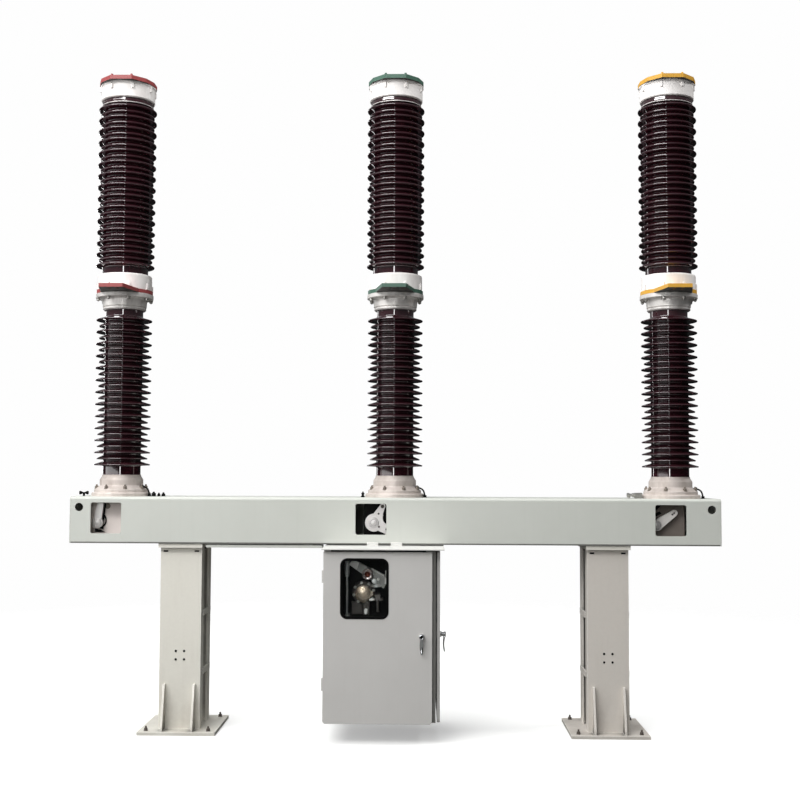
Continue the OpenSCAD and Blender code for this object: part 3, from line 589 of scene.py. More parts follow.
# Anchor studs, brown with thin rust
ANCHOR_STEEL = CutSteel(
    "rusty_anchor_steel", "galvanised_steel", "#57504b", 0.6, 0.4,
    oil="#4a382d", oil_share=0.7, smear_mm=10.0,
)
# Grey-brown primer on the right crank's housing
GREY_PRIMER = MattBlack("grey_brown_primer", "black_paint", "#7c736c", 0.6, dust="#8d857e")
# Pale primer on the left crank's housing, made lighter still as painted light on the housing in its recess
PALE_LIT_PRIMER = MattBlack("lit_pale_primer", "black_paint", "#f0e5df", 0.6, dust="#e6dcd5")

# The finish of each slot
FINISHES = {
    finish.slot: finish for finish in (
        BEAM_ENAMEL, CABINET_ENAMEL, LEG_ZINC, GLAZE, CASTING, PHASE_RED, PHASE_GREEN, PHASE_YELLOW,
        LEVER_STEEL, BLACK_CASTING, SEAL_RUBBER, PANE_GLASS, CHROME, PASSIVATED,
    )
}
# Nodes that differ from others in their slot
OWN_FINISHES = {
    "right_leg": DULL_ZINC, "right_foot": DULL_ZINC, "hanger_rails": RAIL_ZINC,
    "beam_bottom_plate": DARK_BOTTOM_ENAMEL, "latch_bracket": DARK_STEEL, "right_crank_housing": GREY_PRIMER,
    "left_crank_housing": PALE_LIT_PRIMER, "cabinet_right_post": SHADED_POST_ENAMEL, "cabinet_roof": LIT_ROOF_ENAMEL,
    "right_crank": SPRAYED_STEEL, "rocker_arm": ARM_STEEL,
}


@dataclass
class Shape:
    """A mesh in the making: its points in metres and its faces."""

    points: np.ndarray
    faces: list[tuple[int, ...]]

    def placed(self, matrix: Matrix) -> Shape:
        """Copy of the shape, moved by a matrix."""
        grid = np.array(matrix)
        return Shape(self.points @ grid[:3, :3].T + grid[:3, 3], self.faces)

    @staticmethod
    def joined(shapes: Iterable[Shape]) -> Shape:
        """One shape that holds all of these."""
        points: list[np.ndarray] = []
        faces: list[tuple[int, ...]] = []
        count = 0
        for shape in shapes:
            points.append(shape.points)
            faces += [tuple(index + count for index in face) for face in shape.faces]
            count += len(shape.points)
        return Shape(np.concatenate(points), faces)

    def piece(
        self, name: str, finish: Finish, body: str = "breaker", smooth_deg: float = 35.0,
    ) -> bpy.types.Object:
        """Make the piece, dress it and let it ride on a body.

        Args:
            name: Name of the piece.
            finish: Its surface.
            body: The body that carries it.
            smooth_deg: Edges sharper than this stay sharp.

        Returns:
            The new object.
        """
        mesh = bpy.data.meshes.new(name)
        mesh.from_pydata(self.points.tolist(), [], self.faces)
        mesh.polygons.foreach_set("use_smooth", [True] * len(mesh.polygons))
        mesh.set_sharp_from_angle(angle=math.radians(smooth_deg))
        mesh.materials.append(finish.material())
        piece = bpy.data.objects.new(name, mesh)
        bpy.context.scene.collection.objects.link(piece)
        weights = piece.modifiers.new("flat_faces_first", "WEIGHTED_NORMAL")
        weights.keep_sharp = True
        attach(piece, body)
        LOG.info("made %s: %d faces", name, len(self.faces))
        return piece


def filleted(corners: Sequence[Corner], steps: int = 2) -> list[Point]:
    """Round the corners of an open outline.

    Args:
        corners: Each corner's two coordinates and its radius.
        steps: Straight stretches in each arc.

    Returns:
        The outline's points, with arcs at the corners.
    """
    outline: list[Point] = []
    for number, (x, y, radius) in enumerate(corners):
        at = np.array((x, y))
        if radius <= 0 or number in (0, len(corners) - 1):
            outline.append((x, y))
            continue
        before = np.array(corners[number - 1][:2]) - at
        after = np.array(corners[number + 1][:2]) - at
        back, on = before / np.linalg.norm(before), after / np.linalg.norm(after)
        half = math.acos(float(np.clip(back @ on, -1, 1))) / 2
        reach = min(radius / math.tan(half), 0.49 * np.linalg.norm(before), 0.49 * np.linalg.norm(after))
        first, last = at + back * reach, at + on * reach
        for share in np.arange(steps + 1) / steps:
            curve = (1 - share) ** 2 * first + 2 * share * (1 - share) * at + share ** 2 * last
            outline.append((float(curve[0]), float(curve[1])))
    return outline


def skinned(rings: Sequence[np.ndarray], looped: bool = False) -> Shape:
    """Lay faces between rings of equally many points.

    Args:
        rings: Points of each ring in millimetres, all running the same way round.
        looped: Join the last ring to the first in place of closing both ends.

    Returns:
        The closed shape.
    """
    count = len(rings[0])
    rows = len(rings) if looped else len(rings) - 1
    faces = []
    for row in range(rows):
        here, there = row * count, (row + 1) % len(rings) * count
        for n in range(count):
            after = (n + 1) % count
            faces.append((here + n, here + after, there + after, there + n))
    if not looped:
        faces.append(tuple(reversed(range(count))))
        faces.append(tuple(range(rows * count, (rows + 1) * count)))
    return Shape(np.concatenate(rings) * MM, faces)


def turned(
    corners: Sequence[Point | Corner], segments: int = 48, steps: int = 2, looped: bool = False,
) -> Shape:
    """Turn an outline about the upright axis.

    Args:
        corners: Radius and height of each corner in millimetres, anticlockwise, with or without its rounding.
        segments: Facets round the axis.
        steps: Straight stretches in each rounded corner.
        looped: The outline ends where it starts, so the shape is a ring.

    Returns:
        The turned shape.
    """
    outline = filleted(corners, steps) if len(corners[0]) == 3 else corners
    angles = np.linspace(0, 2 * math.pi, segments, endpoint=False)
    circle = np.stack([np.cos(angles), np.sin(angles), np.zeros(segments)], axis=1)
    rings = [circle * radius + (0.0, 0.0, height) for radius, height in outline]
    return skinned(rings[:-1] if looped else rings, looped)


def swept(
    route: Sequence[Corner], sizes: Sequence[Point], segments: int = 12, looped: bool = False,
) -> Shape:
    """Sweep an ellipse along a route.

    Args:
        route: Points in millimetres.
        sizes: Half width and half depth of the ellipse at each point, or one pair for all of them.
        segments: Facets round the ellipse.
        looped: The route is a loop.

    Returns:
        The swept shape.
    """
    path = np.array(route, float)
    if looped:
        along = np.roll(path, -1, axis=0) - np.roll(path, 1, axis=0)
    else:
        along = np.gradient(path, axis=0)
    along /= np.linalg.norm(along, axis=1)[:, None]
    sizes = list(sizes) * len(path) if len(sizes) == 1 else sizes
    side = np.cross(along[0], (0.0, 1.0, 0.0) if abs(along[0][1]) < 0.9 else (1.0, 0.0, 0.0))
    turn = np.linspace(0, 2 * math.pi, segments, endpoint=False)[:, None]
    rings = []
    for place, ahead, (width, depth) in zip(path, along, sizes):
        side = side - ahead * (side @ ahead)
        side /= np.linalg.norm(side)
        rings.append(place + np.cos(turn) * side * width + np.sin(turn) * np.cross(ahead, side) * depth)
    return skinned(rings, looped)


def slab(outline: Sequence[Point], thick: float, chamfer: float = 1.5) -> Shape:
    """Flat piece with chamfered rims, standing on the ground plane.

    Args:
        outline: Its corners in millimetres, anticlockwise.
        thick: Its thickness.
        chamfer: Width of the chamfers.

    Returns:
        The slab.
    """
    edge = np.array(outline, float)
    step = np.roll(edge, -1, axis=0) - edge
    out = np.stack([step[:, 1], -step[:, 0]], axis=1)
    out /= np.linalg.norm(out, axis=1)[:, None]
    mitre = out + np.roll(out, 1, axis=0)
    inset = edge - chamfer * 2 * mitre / np.sum(mitre * mitre, axis=1)[:, None]
    rows = [(inset, 0.0), (edge, chamfer), (edge, thick - chamfer), (inset, thick)]
    return skinned([np.concatenate([ring, np.full((len(ring), 1), level)], axis=1) for ring, level in rows])


def smooth_route(corners: Sequence[Corner], steps: int = 6) -> list[Corner]:
    """Curve through points in millimetres, with a few steps between each two."""
    path = np.array(corners, float)
    ends = np.concatenate([[2 * path[0] - path[1]], path, [2 * path[-1] - path[-2]]])
    route = []
    for before, here, there, after in zip(ends, ends[1:], ends[2:], ends[3:]):
        for share in np.arange(steps) / steps:
            bend = 2 * before - 5 * here + 4 * there - after
            twist = 3 * here - before - 3 * there + after
            route.append(0.5 * (2 * here + (there - before) * share + bend * share ** 2 + twist * share ** 3))
    return [tuple(point) for point in route] + [tuple(path[-1])]


@lru_cache(maxsize=None)
def hex_bolt(across: float, stud: float = 0.0) -> Shape:
    """A washer and a hexagon with chamfered corners, and a stud's end above it.

    Args:
        across: Width across the hexagon's flats in millimetres.
        stud: Length of the stud that stands out above a nut.

    Returns:
        The fastener, standing on the ground at the origin.
    """
    corner = across / math.sqrt(3)
    washer_r, washer_h, head_h = 1.2 * corner, 0.16 * across, 0.66 * across
    top = washer_h + head_h
    washer = turned([(0.95 * corner, 0), (washer_r, 0), (washer_r, washer_h), (0.9 * corner, washer_h)], 20)
    head = turned([(corner, washer_h), (corner, top - 0.12 * head_h), (0.86 * corner, top)], 6)
    parts = [washer, head]
    if stud:
        thread, tip = 0.3 * across, top + stud
        parts.append(turned([(thread, top), (thread, tip - 0.3 * thread), (0.7 * thread, tip)], 16))
    return Shape.joined(parts)


def standing(
    place: Sequence[float], along: Sequence[float] = (0, 0, 1), spin_deg: float = 0.0,
) -> Matrix:
    """Matrix that stands a shape at a place in millimetres, with its axis along a direction."""
    turn = Vector(along).to_track_quat("Z", "Y").to_matrix().to_4x4()
    return Matrix.Translation(Vector(place) * MM) @ turn @ Matrix.Rotation(math.radians(spin_deg), 4, "Z")


def facing(place: Sequence[float]) -> Matrix:
    """Matrix that lays a drawing on an upright plane that faces the front, its first axis to the right."""
    return Matrix.Translation(Vector(place) * MM) @ FRONTWARD


def box_mm(node: str) -> tuple[Vector, Vector]:
    """Lower and upper corner of a node in millimetres."""
    low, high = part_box(node)
    return low / MM, high / MM


@dataclass
class Porcelain:
    """A porcelain with wide sheds and narrow ones between them.

    Necks run from the ends to the outermost sheds. Below and above are a shed's slopes, from its level to the
    trunk, tip is the thickness of its rim, and a collar's heights count from the porcelain's head.
    """

    node: str
    trunk_r: float
    wide_r: float
    narrow_r: float
    sheds: int
    foot_neck: float
    head_neck: float
    below: float
    above: float
    tip: float
    fillet: float
    collar: Sequence[Corner] = ()
    segments: int = 80

    def corners(self, height: float) -> list[Corner]:
        """Radius, height and rounding of the corners from the foot up, for a whole height in millimetres."""
        pitch = (height - self.foot_neck - self.head_neck) / (self.sheds - 1)
        corners: list[Corner] = [(self.trunk_r, 0, 0)]
        for number in range(2 * self.sheds - 1):
            level = self.foot_neck + number * pitch / 2
            reach = self.wide_r if number % 2 == 0 else self.narrow_r
            corners += [
                (self.trunk_r, level - self.below, self.fillet * 0.6),
                (reach, level - self.tip * 0.6, self.tip * 0.5),
                (reach, level + self.tip * 0.4, self.tip * 0.5),
                (self.trunk_r, level + self.above, self.fillet),
            ]
        corners += [(radius, height + level, fillet) for radius, level, fillet in self.collar]
        return corners + [(corners[-1][0], height, 0)]

    def build(self) -> None:
        """Turn the porcelain in the place of its plain solid."""
        low, high = box_mm(self.node)
        middle = (low + high) / 2
        shape = turned(self.corners(high.z - low.z), self.segments)
        shape = shape.placed(standing((middle.x, middle.y, low.z)))
        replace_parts(shape.piece(self.node + "_sheds", GLAZE, "breaker", 50.0), self.node)


@dataclass
class PoleColumn:
    """One pole: its two porcelains, its castings with their bolts, and its gas fittings."""

    pole: Pole
    bolt_count: int = 8
    rim_bolt: float = 19.0
    rim_stud: float = 4.0
    rim_spin: float = 15.0
    rim_inset: float = 13.0
    rim_t: float = 28.0
    base_bolt: float = 20.0
    base_stud: float = 10.0
    base_spin: float = 20.0
    base_inset: float = 30.0
    base_flange_z: float = 46.0
    rib_count: int = 8
    rib_r: Point = (156.0, 174.0)
    rib_half: float = 7.0
    ring_r: Point = (153.0, 159.5)
    ring_t: float = 5.0
    ring_below: float = 33.0
    pipe_ahead: float = 50.0
    pipe_r: float = 5.0
    pipe_nut: float = 18.0

    def node(self, ending: str) -> str:
        """Full name of one of this pole's nodes."""
        return f"{self.pole.value}_{ending}"

    def build(self) -> None:
        """Build the porcelains, the castings, the bolts and the gas fittings."""
        Porcelain(
            self.node("support_porcelain"), trunk_r=114, wide_r=171, narrow_r=154, sheds=13,
            foot_neck=62, head_neck=62, below=7, above=20, tip=7, fillet=9,
        ).build()
        Porcelain(
            self.node("interrupter_porcelain"), trunk_r=140, wide_r=179, narrow_r=165, sheds=15,
            foot_neck=57, head_neck=56, below=11, above=22, tip=8, fillet=9,
            collar=[(140, -33, 3), (157, -30, 4), (157, -12, 4), (151, -8, 1)],
        ).build()
        self.castings()
        self.bolts()
        self.gas_fittings()

    def castings(self) -> None:
        """Turn the four cast fittings with rounded edges, in the place of their plain solids."""
        self.casting("pole_base", [
            (180, 0, 0), (180, 18, 4), (174, 23, 2), (164, 24, 2), (164, 42, 4), (156, 47, 4), (139, 61, 8),
            (132, 68, 6), (132, 102, 8), (118, 124, 4), (118, 132, 0),
        ], finish=BASE_CASTING)
        self.casting("support_cap", [
            (126, 0, 0), (132, 6, 3), (132, 16, 2), (127, 17, 1), (127, 20, 1), (134, 21, 3), (138, 66, 6),
            (147, 73, 4), (172, 73, 3), (176, 76, 3), (176, 99, 2), (170, 101, 0),
        ])
        self.casting("interrupter_base", [
            (166, 0, 0), (166, 97, 22), (140, 97, 0),
        ], (0.0, 40.0), CAP_CASTING)
        self.casting("top_cap", [
            (160, 0, 0), (166, 5, 4), (166, 84, 4), (172, 90, 2), (172, 98, 0),
        ], (52.0, 36.0), CAP_CASTING)
        # A thin cast ring at the collar's lower edge; its pale line also stands in for a highlight on the
        # collar's rounded edge, a painted highlight
        low, high = box_mm(self.node("interrupter_porcelain"))
        inner, outer = self.ring_r
        ring = turned([
            (inner, 0, 0), (outer, 0, 2), (outer, self.ring_t, 2), (inner, self.ring_t, 0), (inner, 0, 0),
        ], 96, looped=True)
        place = standing(((low.x + high.x) / 2, (low.y + high.y) / 2, high.z - self.ring_below))
        ring.placed(place).piece(self.node("head_highlight_ring"), CASTING)

    def casting(
        self, ending: str, corners: Sequence[Corner], rib: Point | None = None, finish: Finish = CASTING,
    ) -> None:
        """Turn one fitting.

        Args:
            ending: Ending of its node's name.
            corners: Radius, height and rounding of its outline's corners.
            rib: Height of the ribs' foot and of the ribs, where it has ribs.
            finish: Its surface.
        """
        low, high = box_mm(self.node(ending))
        centre = (low + high) / 2
        shapes = [turned(corners, 96, 4)]
        if rib:
            foot, height = rib
            (inner, outer), half = self.rib_r, self.rib_half
            bar = slab([(inner, -half), (outer, -half), (outer, half), (inner, half)], height, 3.0)
            for number in range(self.rib_count):
                turn = Matrix.Rotation(2 * math.pi * (number + 0.5) / self.rib_count, 4, "Z")
                shapes.append(bar.placed(turn @ standing((0, 0, foot))))
        shape = Shape.joined(shapes).placed(standing((centre.x, centre.y, low.z)))
        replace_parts(shape.piece(self.node(ending) + "_casting", finish, "breaker"), self.node(ending))

    def bolts(self) -> None:
        """Put nuts under the flange rim and on the cast base."""
        cap_low, cap_high = box_mm(self.node("support_cap"))
        base_low, base_high = box_mm(self.node("pole_base"))
        centre = (base_low + base_high) / 2
        rim_r = (cap_high.x - cap_low.x) / 2 - self.rim_inset
        base_r = (base_high.x - base_low.x) / 2 - self.base_inset
        under_rim, on_base = [], []
        for number in range(self.bolt_count):
            angle = 2 * math.pi * (number + 0.5) / self.bolt_count
            across, ahead = math.cos(angle), math.sin(angle)
            under = (centre.x + rim_r * across, centre.y + rim_r * ahead, cap_high.z - self.rim_t)
            over = (centre.x + base_r * across, centre.y + base_r * ahead, base_low.z + self.base_flange_z)
            nut = hex_bolt(self.rim_bolt, self.rim_stud)
            under_rim.append(nut.placed(standing(under, (0, 0, -1), self.rim_spin * number)))
            nut = hex_bolt(self.base_bolt, self.base_stud)
            on_base.append(nut.placed(standing(over, (0, 0, 1), self.base_spin * number)))
        Shape.joined(under_rim).piece(self.node("rim_bolts"), BOLT_ZINC)
        Shape.joined(on_base).piece(self.node("base_bolts"), WEATHERED_ZINC)

    def gas_fittings(self) -> None:
        """Bend a thin pipe from the base down into the beam and stand this pole's other fittings there."""
        low, high = box_mm(self.node("pole_base"))
        centre = (low + high) / 2
        reach = (high.x - low.x) / 2
        front = centre.y - self.pipe_ahead
        left, right = centre.x - reach, centre.x + reach
        pipe = smooth_route([
            (centre.x + 124, front, low.z + 60), (right - 28, front, low.z + 58),
            (right - 4, front, low.z + 44), (right + 6, front, low.z + 14), (right + 7, front, low.z),
        ])
        shapes = [
            swept(pipe, [(self.pipe_r, self.pipe_r)]),
            hex_bolt(self.pipe_nut).placed(standing(pipe[-1])),
            hex_bolt(self.pipe_nut).placed(standing((centre.x + 136, front, low.z + 60), (1, 0, 0))),
        ]
        if self.pole is Pole.LEFT:
            waist = turned([
                (11, 0, 0), (11, 7, 1), (4, 22, 2), (4, 32, 2), (11, 47, 1), (11, 54, 0),
            ], 24)
            shapes += [
                waist.placed(standing((left - 66, front, low.z + 20), (1, 0, 0))),
                turned([(7, 0), (7, 22), (6, 24)], 20).placed(standing((left - 39, front, low.z))),
            ]
            shapes += [
                hex_bolt(across, 8.0).placed(standing((right + offset, front, low.z)))
                for offset, across in ((34, 24.0), (66, 17.0), (94, 20.0))
            ]
        else:
            valve = turned([
                (12, 0, 0), (12, 7, 1), (8, 9, 1), (7, 16, 1),
                (10, 18, 1), (10, 24, 1), (5, 27, 1), (4, 34, 0),
            ], 20)
            shapes.append(valve.placed(standing((left - 14, front, low.z))))
        Shape.joined(shapes).piece(self.node("gas_fittings"), BLACK_CASTING)
        if self.pole is Pole.RIGHT:
            block = slab([(-24, -15), (24, -15), (24, 15), (-24, 15)], 34, 4.0)
            union = turned([
                (13, 0, 0), (13, 14, 2), (9, 16, 1), (9, 30, 1), (12, 32, 1), (12, 44, 0),
            ], 24)
            Shape.joined([
                block.placed(standing((left - 28, front, low.z))),
                union.placed(standing((left - 96, front, low.z + 20), (1, 0, 0))),
                turned([(8, 0), (8, 20), (7, 22)], 20).placed(standing((left - 84, front, low.z))),
            ]).piece(self.node("gas_block"), BOLT_ZINC)


@dataclass
class CrankWindow:
    """What shows on a crank behind its window: the ring on its hub, the shaft's end and small screws.

    A screw is given by its angle in degrees, its distance from the shaft and its width across the flats.
    """

    pole: Pole
    shaft: Point
    ring_r: float
    screws: Sequence[Corner]
    front: float = -138.0
    shaft_r: float = 20.0
    shaft_front: float = -144.0
    ring_gap: float = 1.2

    def build(self) -> None:
        """Put the ring, the screws and the shaft's end in place."""
        x, z = self.shaft
        body = self.pole.value + "_crank"
        inner = self.shaft_r + self.ring_gap
        ring = turned([
            (inner, 0, 0), (self.ring_r, 0, 0), (self.ring_r, 5, 1.5), (self.ring_r - 3, 7, 1.5),
            (inner, 7, 0.5), (inner, 0, 0),
        ], 48, looped=True)
        ring.placed(facing((x, self.front, z))).piece(body + "_ring", LEVER_STEEL, body)
        screws = []
        for angle, reach, across in self.screws:
            turn = math.radians(angle)
            place = (x + reach * math.cos(turn), self.front, z + reach * math.sin(turn))
            screws.append(hex_bolt(across).placed(facing(place)))
        Shape.joined(screws).piece(body + "_screws", DARK_STEEL, body)
        end = turned([
            (17, 0, 0), (self.shaft_r - 0.8, 0.4, 0.5), (self.shaft_r - 0.8, 2.2, 0.8),
            (9, 2.6, 0.6), (9, 5, 1.2), (3, 5.4, 0),
        ], 40)
        end.placed(facing((x, self.shaft_front, z))).piece(body + "_shaft_end", LEVER_STEEL)


@dataclass
class LeftLinkage:
    """Lever, hose and bolt on the left crank's housing, behind the crank, seen through its window."""

    back: float = -97.5
    thick: float = 10.0
    hose_y: float = -103.0
    hose_r: float = 4.5
    hose: Sequence[Point] = ((-1788, 1312), (-1771, 1288), (-1765, 1262), (-1773, 1236), (-1797, 1212))
    bolt_at: Point = (-1757.0, 1350.0)
    boss_t: float = 2.2

    def build(self) -> None:
        """Hang the lever, the hose and the bolt, all clear of the turning crank."""
        lever = slab([(-1802, 1214), (-1781, 1208), (-1766, 1366), (-1785, 1366)], self.thick, 2.0)
        hose = smooth_route([(x, self.hose_y, z) for x, z in self.hose])
        wedge = slab([(-1832, 1192), (-1770, 1192), (-1796, 1206), (-1832, 1212)], self.thick, 2.0)
        at = facing((0, self.back, 0))
        Shape.joined([
            lever.placed(at), swept(hose, [(self.hose_r, self.hose_r)]), wedge.placed(at),
        ]).piece("left_linkage", BLACK_CASTING)
        boss = turned([(17, 0, 0), (17, 2, 1), (10, 2.4, 0)], 32)
        x, z = self.bolt_at
        Shape.joined([
            boss.placed(facing((x, self.back, z))),
            hex_bolt(10.0).placed(facing((x, self.back - self.boss_t, z))),
        ]).piece("left_linkage_bolt", WEATHERED_ZINC)


@dataclass
class RightLinkage:
    """Black gusset on the right crank's housing, in the corner of its window, and a black strip beside the
    lever that is its painted shadow.
    """

    back: float = -97.5
    thick: float = 6.0

    def build(self) -> None:
        """Fix the gusset, and the strip of painted shadow, to the housing."""
        gusset = slab([(1572, 1378), (1572, 1320), (1630, 1378)], self.thick, 1.5)
        # A black strip along the lever's upper side: the lever's painted shadow
        lever_shadow = slab([(1572, 1312), (1572, 1292), (1624, 1320), (1612, 1332)], self.thick, 1.5)
        at = facing((0, self.back, 0))
        Shape.joined([gusset.placed(at), lever_shadow.placed(at)]).piece("right_linkage", BLACK_CASTING)


@dataclass
class Mechanism:
    """Small parts of the drive behind the door's pane; points are given across and up, depths end in y."""

    cam: Point = (-178.0, 843.0)
    roller: Point = (-152.0, 959.0)
    arm_foot: Point = (-257.0, 1029.0)
    arm_head: Point = (-40.0, 903.0)
    plate_y: float = -150.0
    arm_y: float = -250.0
    bearing_bolts: int = 8
    bearing_r: float = 61.0
    bearing_t: float = 44.0
    lobe_r: Point = (45.0, 9.0)
    lobe_turn: Point = (4.85, 0.5)
    crown: Sequence[Point] = (
        (1.0, 0.0), (1.0, 2.0), (0.97, 4.5), (0.88, 7.0), (0.6, 9.5), (0.3, 10.6), (0.05, 11.0),
    )
    crown_facets: int = 72

    def build(self) -> None:
        """Build the cam, the roller, the arm's plates and the latch."""
        self.cam_parts()
        self.roller_parts()
        self.arm_parts()
        self.latch_parts()

    def cam_parts(self) -> None:
        """Bearing behind the cam with its bolts, and the cam's crowned face with its lobe."""
        x, z = self.cam
        bearing = turned([(69, 0, 0), (69, 40, 4), (58, 46, 3), (48, 46, 0)], 64)
        block = slab([(-252, 712), (-186, 712), (-186, 778), (-196, 788), (-252, 788)], 26, 3.0)
        Shape.joined([
            bearing.placed(facing((x, self.plate_y, z))), block.placed(facing((0, self.plate_y, 0))),
        ]).piece("cam_bearing", DARK_STEEL)
        bolts = []
        for number in range(self.bearing_bolts):
            turn = 2 * math.pi * (number + 0.3) / self.bearing_bolts
            across, up = self.bearing_r * math.cos(turn), self.bearing_r * math.sin(turn)
            place = facing((x + across, self.plate_y - self.bearing_t, z + up))
            bolts.append(hex_bolt(13.0, 4.0).placed(place))
        Shape.joined(bolts).piece("cam_bearing_bolts", BOLT_ZINC)
        angles = np.linspace(0, 2 * math.pi, self.crown_facets, endpoint=False)
        radius, swell = self.lobe_r
        middle, width = self.lobe_turn
        lobe = radius + swell * np.exp(-((angles - middle) / width) ** 2)
        rings = []
        for share, level in self.crown:
            reach, levels = share * lobe, np.full(self.crown_facets, level)
            rings.append(np.stack([reach * np.cos(angles), reach * np.sin(angles), levels], axis=1))
        skinned(rings).placed(facing((x, self.arm_y - 10, z))).piece("cam_crown", PASSIVATED)

    def roller_parts(self) -> None:
        """Polished sleeve of the roller and the bronze bush in it."""
        x, z = self.roller
        sleeve = turned([
            (18, 0, 0), (33.5, 0, 0), (33.5, 7, 2), (27, 10, 2), (18, 8, 2), (18, 0, 0),
        ], 48, looped=True)
        sleeve.placed(facing((x, self.arm_y - 26, z))).piece("roller_sleeve", ROLLER_STEEL)
        bush = turned([(17.5, 0, 0), (17.5, 24, 2), (12, 26, 2), (9, 22, 2), (2, 21, 0)], 40)
        bush.placed(facing((x, self.arm_y - 2, z))).piece("roller_bush", BRONZE)

    def arm_parts(self) -> None:
        """Fork plate, a pale top rib that is a painted highlight on the arm's upper edge, end stop of the
        rocker arm, and its pin.
        """
        run = Vector(self.arm_head) - Vector(self.arm_foot)
        along = facing((self.arm_foot[0], self.arm_y, self.arm_foot[1])) @ Matrix.Rotation(
            math.atan2(run.y, run.x), 4, "Z",
        )
        fork = slab([(2, -16), (57, -20), (48, 25), (2, 24)], 4, 1.0)
        # The pale rib along the arm's top edge stands in for the edge's highlight: a painted highlight
        rib = slab([(128, 27), (216, 29), (216, 38), (128, 35)], 16, 2.0)
        stop = slab([(-50, 902), (-32, 898), (-32, 980), (-46, 980)], 6, 1.5)
        Shape.joined([
            fork.placed(along), rib.placed(Matrix.Translation((0.0, 12 * MM, 0.0)) @ along),
            stop.placed(facing((0, self.arm_y, 0))),
            hex_bolt(13.0, 3.0).placed(facing((-89, self.arm_y, 928))),
        ]).piece("rocker_plates", SPRAYED_STEEL)

    def latch_parts(self) -> None:
        """Pins, knob, levers and nuts of the latch below the arm, and of the drive rod."""
        bulb = turned([(5, 0, 0), (10, 4, 3), (11, 24, 4), (6, 33, 0)], 32)
        collar = turned([(6, 33, 0), (6, 42, 1), (12, 48, 2), (12, 58, 2), (5, 66, 0)], 32)
        knob = turned([(16, 0, 0), (17, 3, 1), (15, 8, 3), (8, 12, 3), (2, 13, 0)], 32, 3)
        stem = turned([(6, 0, 0), (6, 24, 1), (9, 26, 1), (9, 34, 1), (5, 36, 0)], 20)
        Shape.joined([
            bulb.placed(standing((-160, self.arm_y - 14, 724))),
            knob.placed(standing((-126, self.arm_y - 2, 803))),
            stem.placed(standing((-96, -236, 903))),
            turned([(5, 0), (5, 70), (4, 71)], 16).placed(standing((-93, -228, 735))),
            hex_bolt(9.0, 3.0).placed(facing((-78, -256, 889))),
        ]).piece("latch_pins", SPRAYED_STEEL)
        lever = turned([(10, 0, 0), (34, 2, 2), (34, 14, 3), (14, 18, 2), (14, 22, 2), (6, 24, 0)], 40)
        collar.placed(standing((-160, self.arm_y - 14, 724))).piece("latch_collar", DARK_STEEL)
        Shape.joined([
            lever.placed(standing((-100, -236, 880))),
            turned([(16, 0, 0), (16, 16, 2), (8, 19, 0)], 32).placed(facing((-112, self.arm_y, 918))),
            hex_bolt(22.0).placed(standing((-275, self.arm_y, 1009))),
            hex_bolt(22.0).placed(standing((-275, self.arm_y, 959), (0, 0, -1))),
        ]).piece("latch_levers", LEVER_STEEL)


@dataclass
class SwingHandle:
    """A chromed swing handle: a rose with a keyhole and a lever that bows out and hangs down."""

    door: str
    spindle: Corner
    outward: Matrix
    hub_r: float = 15.0
    reach: float = 35.4
    length: float = 104.0
    tip: Point = (2.0, 3.5)

    def build(self) -> None:
        """Turn the hub and sweep the lever in the place of the plain handle."""
        body = self.door + "_handle"
        hub = turned([
            (12.5, 4.8, 0), (self.hub_r, 4.8, 0), (self.hub_r, 9, 1), (12, 12, 3), (12, 22, 3),
            (self.hub_r, 26, 2), (self.hub_r, self.reach - 3, 2), (11, self.reach, 1), (9, self.reach - 2, 0),
        ], 40, 3)
        steps = np.linspace(0, 1, 16)
        route, sizes = [], []
        for t in steps:
            route.append((0.0, -6 - (self.length - 8) * t, self.reach - 8 - 6 * math.sin(math.pi * t)))
            width = 5.4 - 1.6 * t + (1 - t) ** 6 * 3
            sizes.append((width, 7.5 + 5.5 * math.sin(math.pi * t ** 0.8) - 2.5 * t))
        sizes[-1] = self.tip
        lever = swept(route, sizes, 20)
        place = Matrix.Translation(Vector(self.spindle) * MM) @ self.outward
        handle = Shape.joined([hub, lever]).placed(place).piece(body + "_lever", CHROME, body)
        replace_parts(handle, body)
        key = turned([(8.6, self.reach - 3), (8.6, self.reach - 1.6), (7.8, self.reach - 1.2)], 24)
        key.placed(place).piece(body + "_keyhole", SEAL_RUBBER, body)


@dataclass
class PaneSeal:
    """The rounded bead of rubber that holds the door's pane."""

    low: Point = (-302.0, 717.0)
    high: Point = (-21.0, 1066.0)
    corner_r: float = 41.0
    front: float = -451.0
    bead: Point = (7.5, 3.0)

    def build(self) -> None:
        """Sweep the bead round the pane."""
        inset = self.bead[0]
        radius = self.corner_r - inset
        route = []
        corners = [
            (self.high[0], self.high[1], 0), (self.low[0], self.high[1], 90),
            (self.low[0], self.low[1], 180), (self.high[0], self.low[1], 270),
        ]
        for x, z, start in corners:
            centre_x = x - math.copysign(self.corner_r, math.cos(math.radians(start + 45)))
            centre_z = z - math.copysign(self.corner_r, math.sin(math.radians(start + 45)))
            for step in range(9):
                turn = math.radians(start + step * 90 / 8)
                across, up = radius * math.cos(turn), radius * math.sin(turn)
                route.append((centre_x + across, self.front, centre_z + up))
        swept(route, [self.bead], 12, looped=True).piece("pane_seal", SEAL_RUBBER, "front_door")


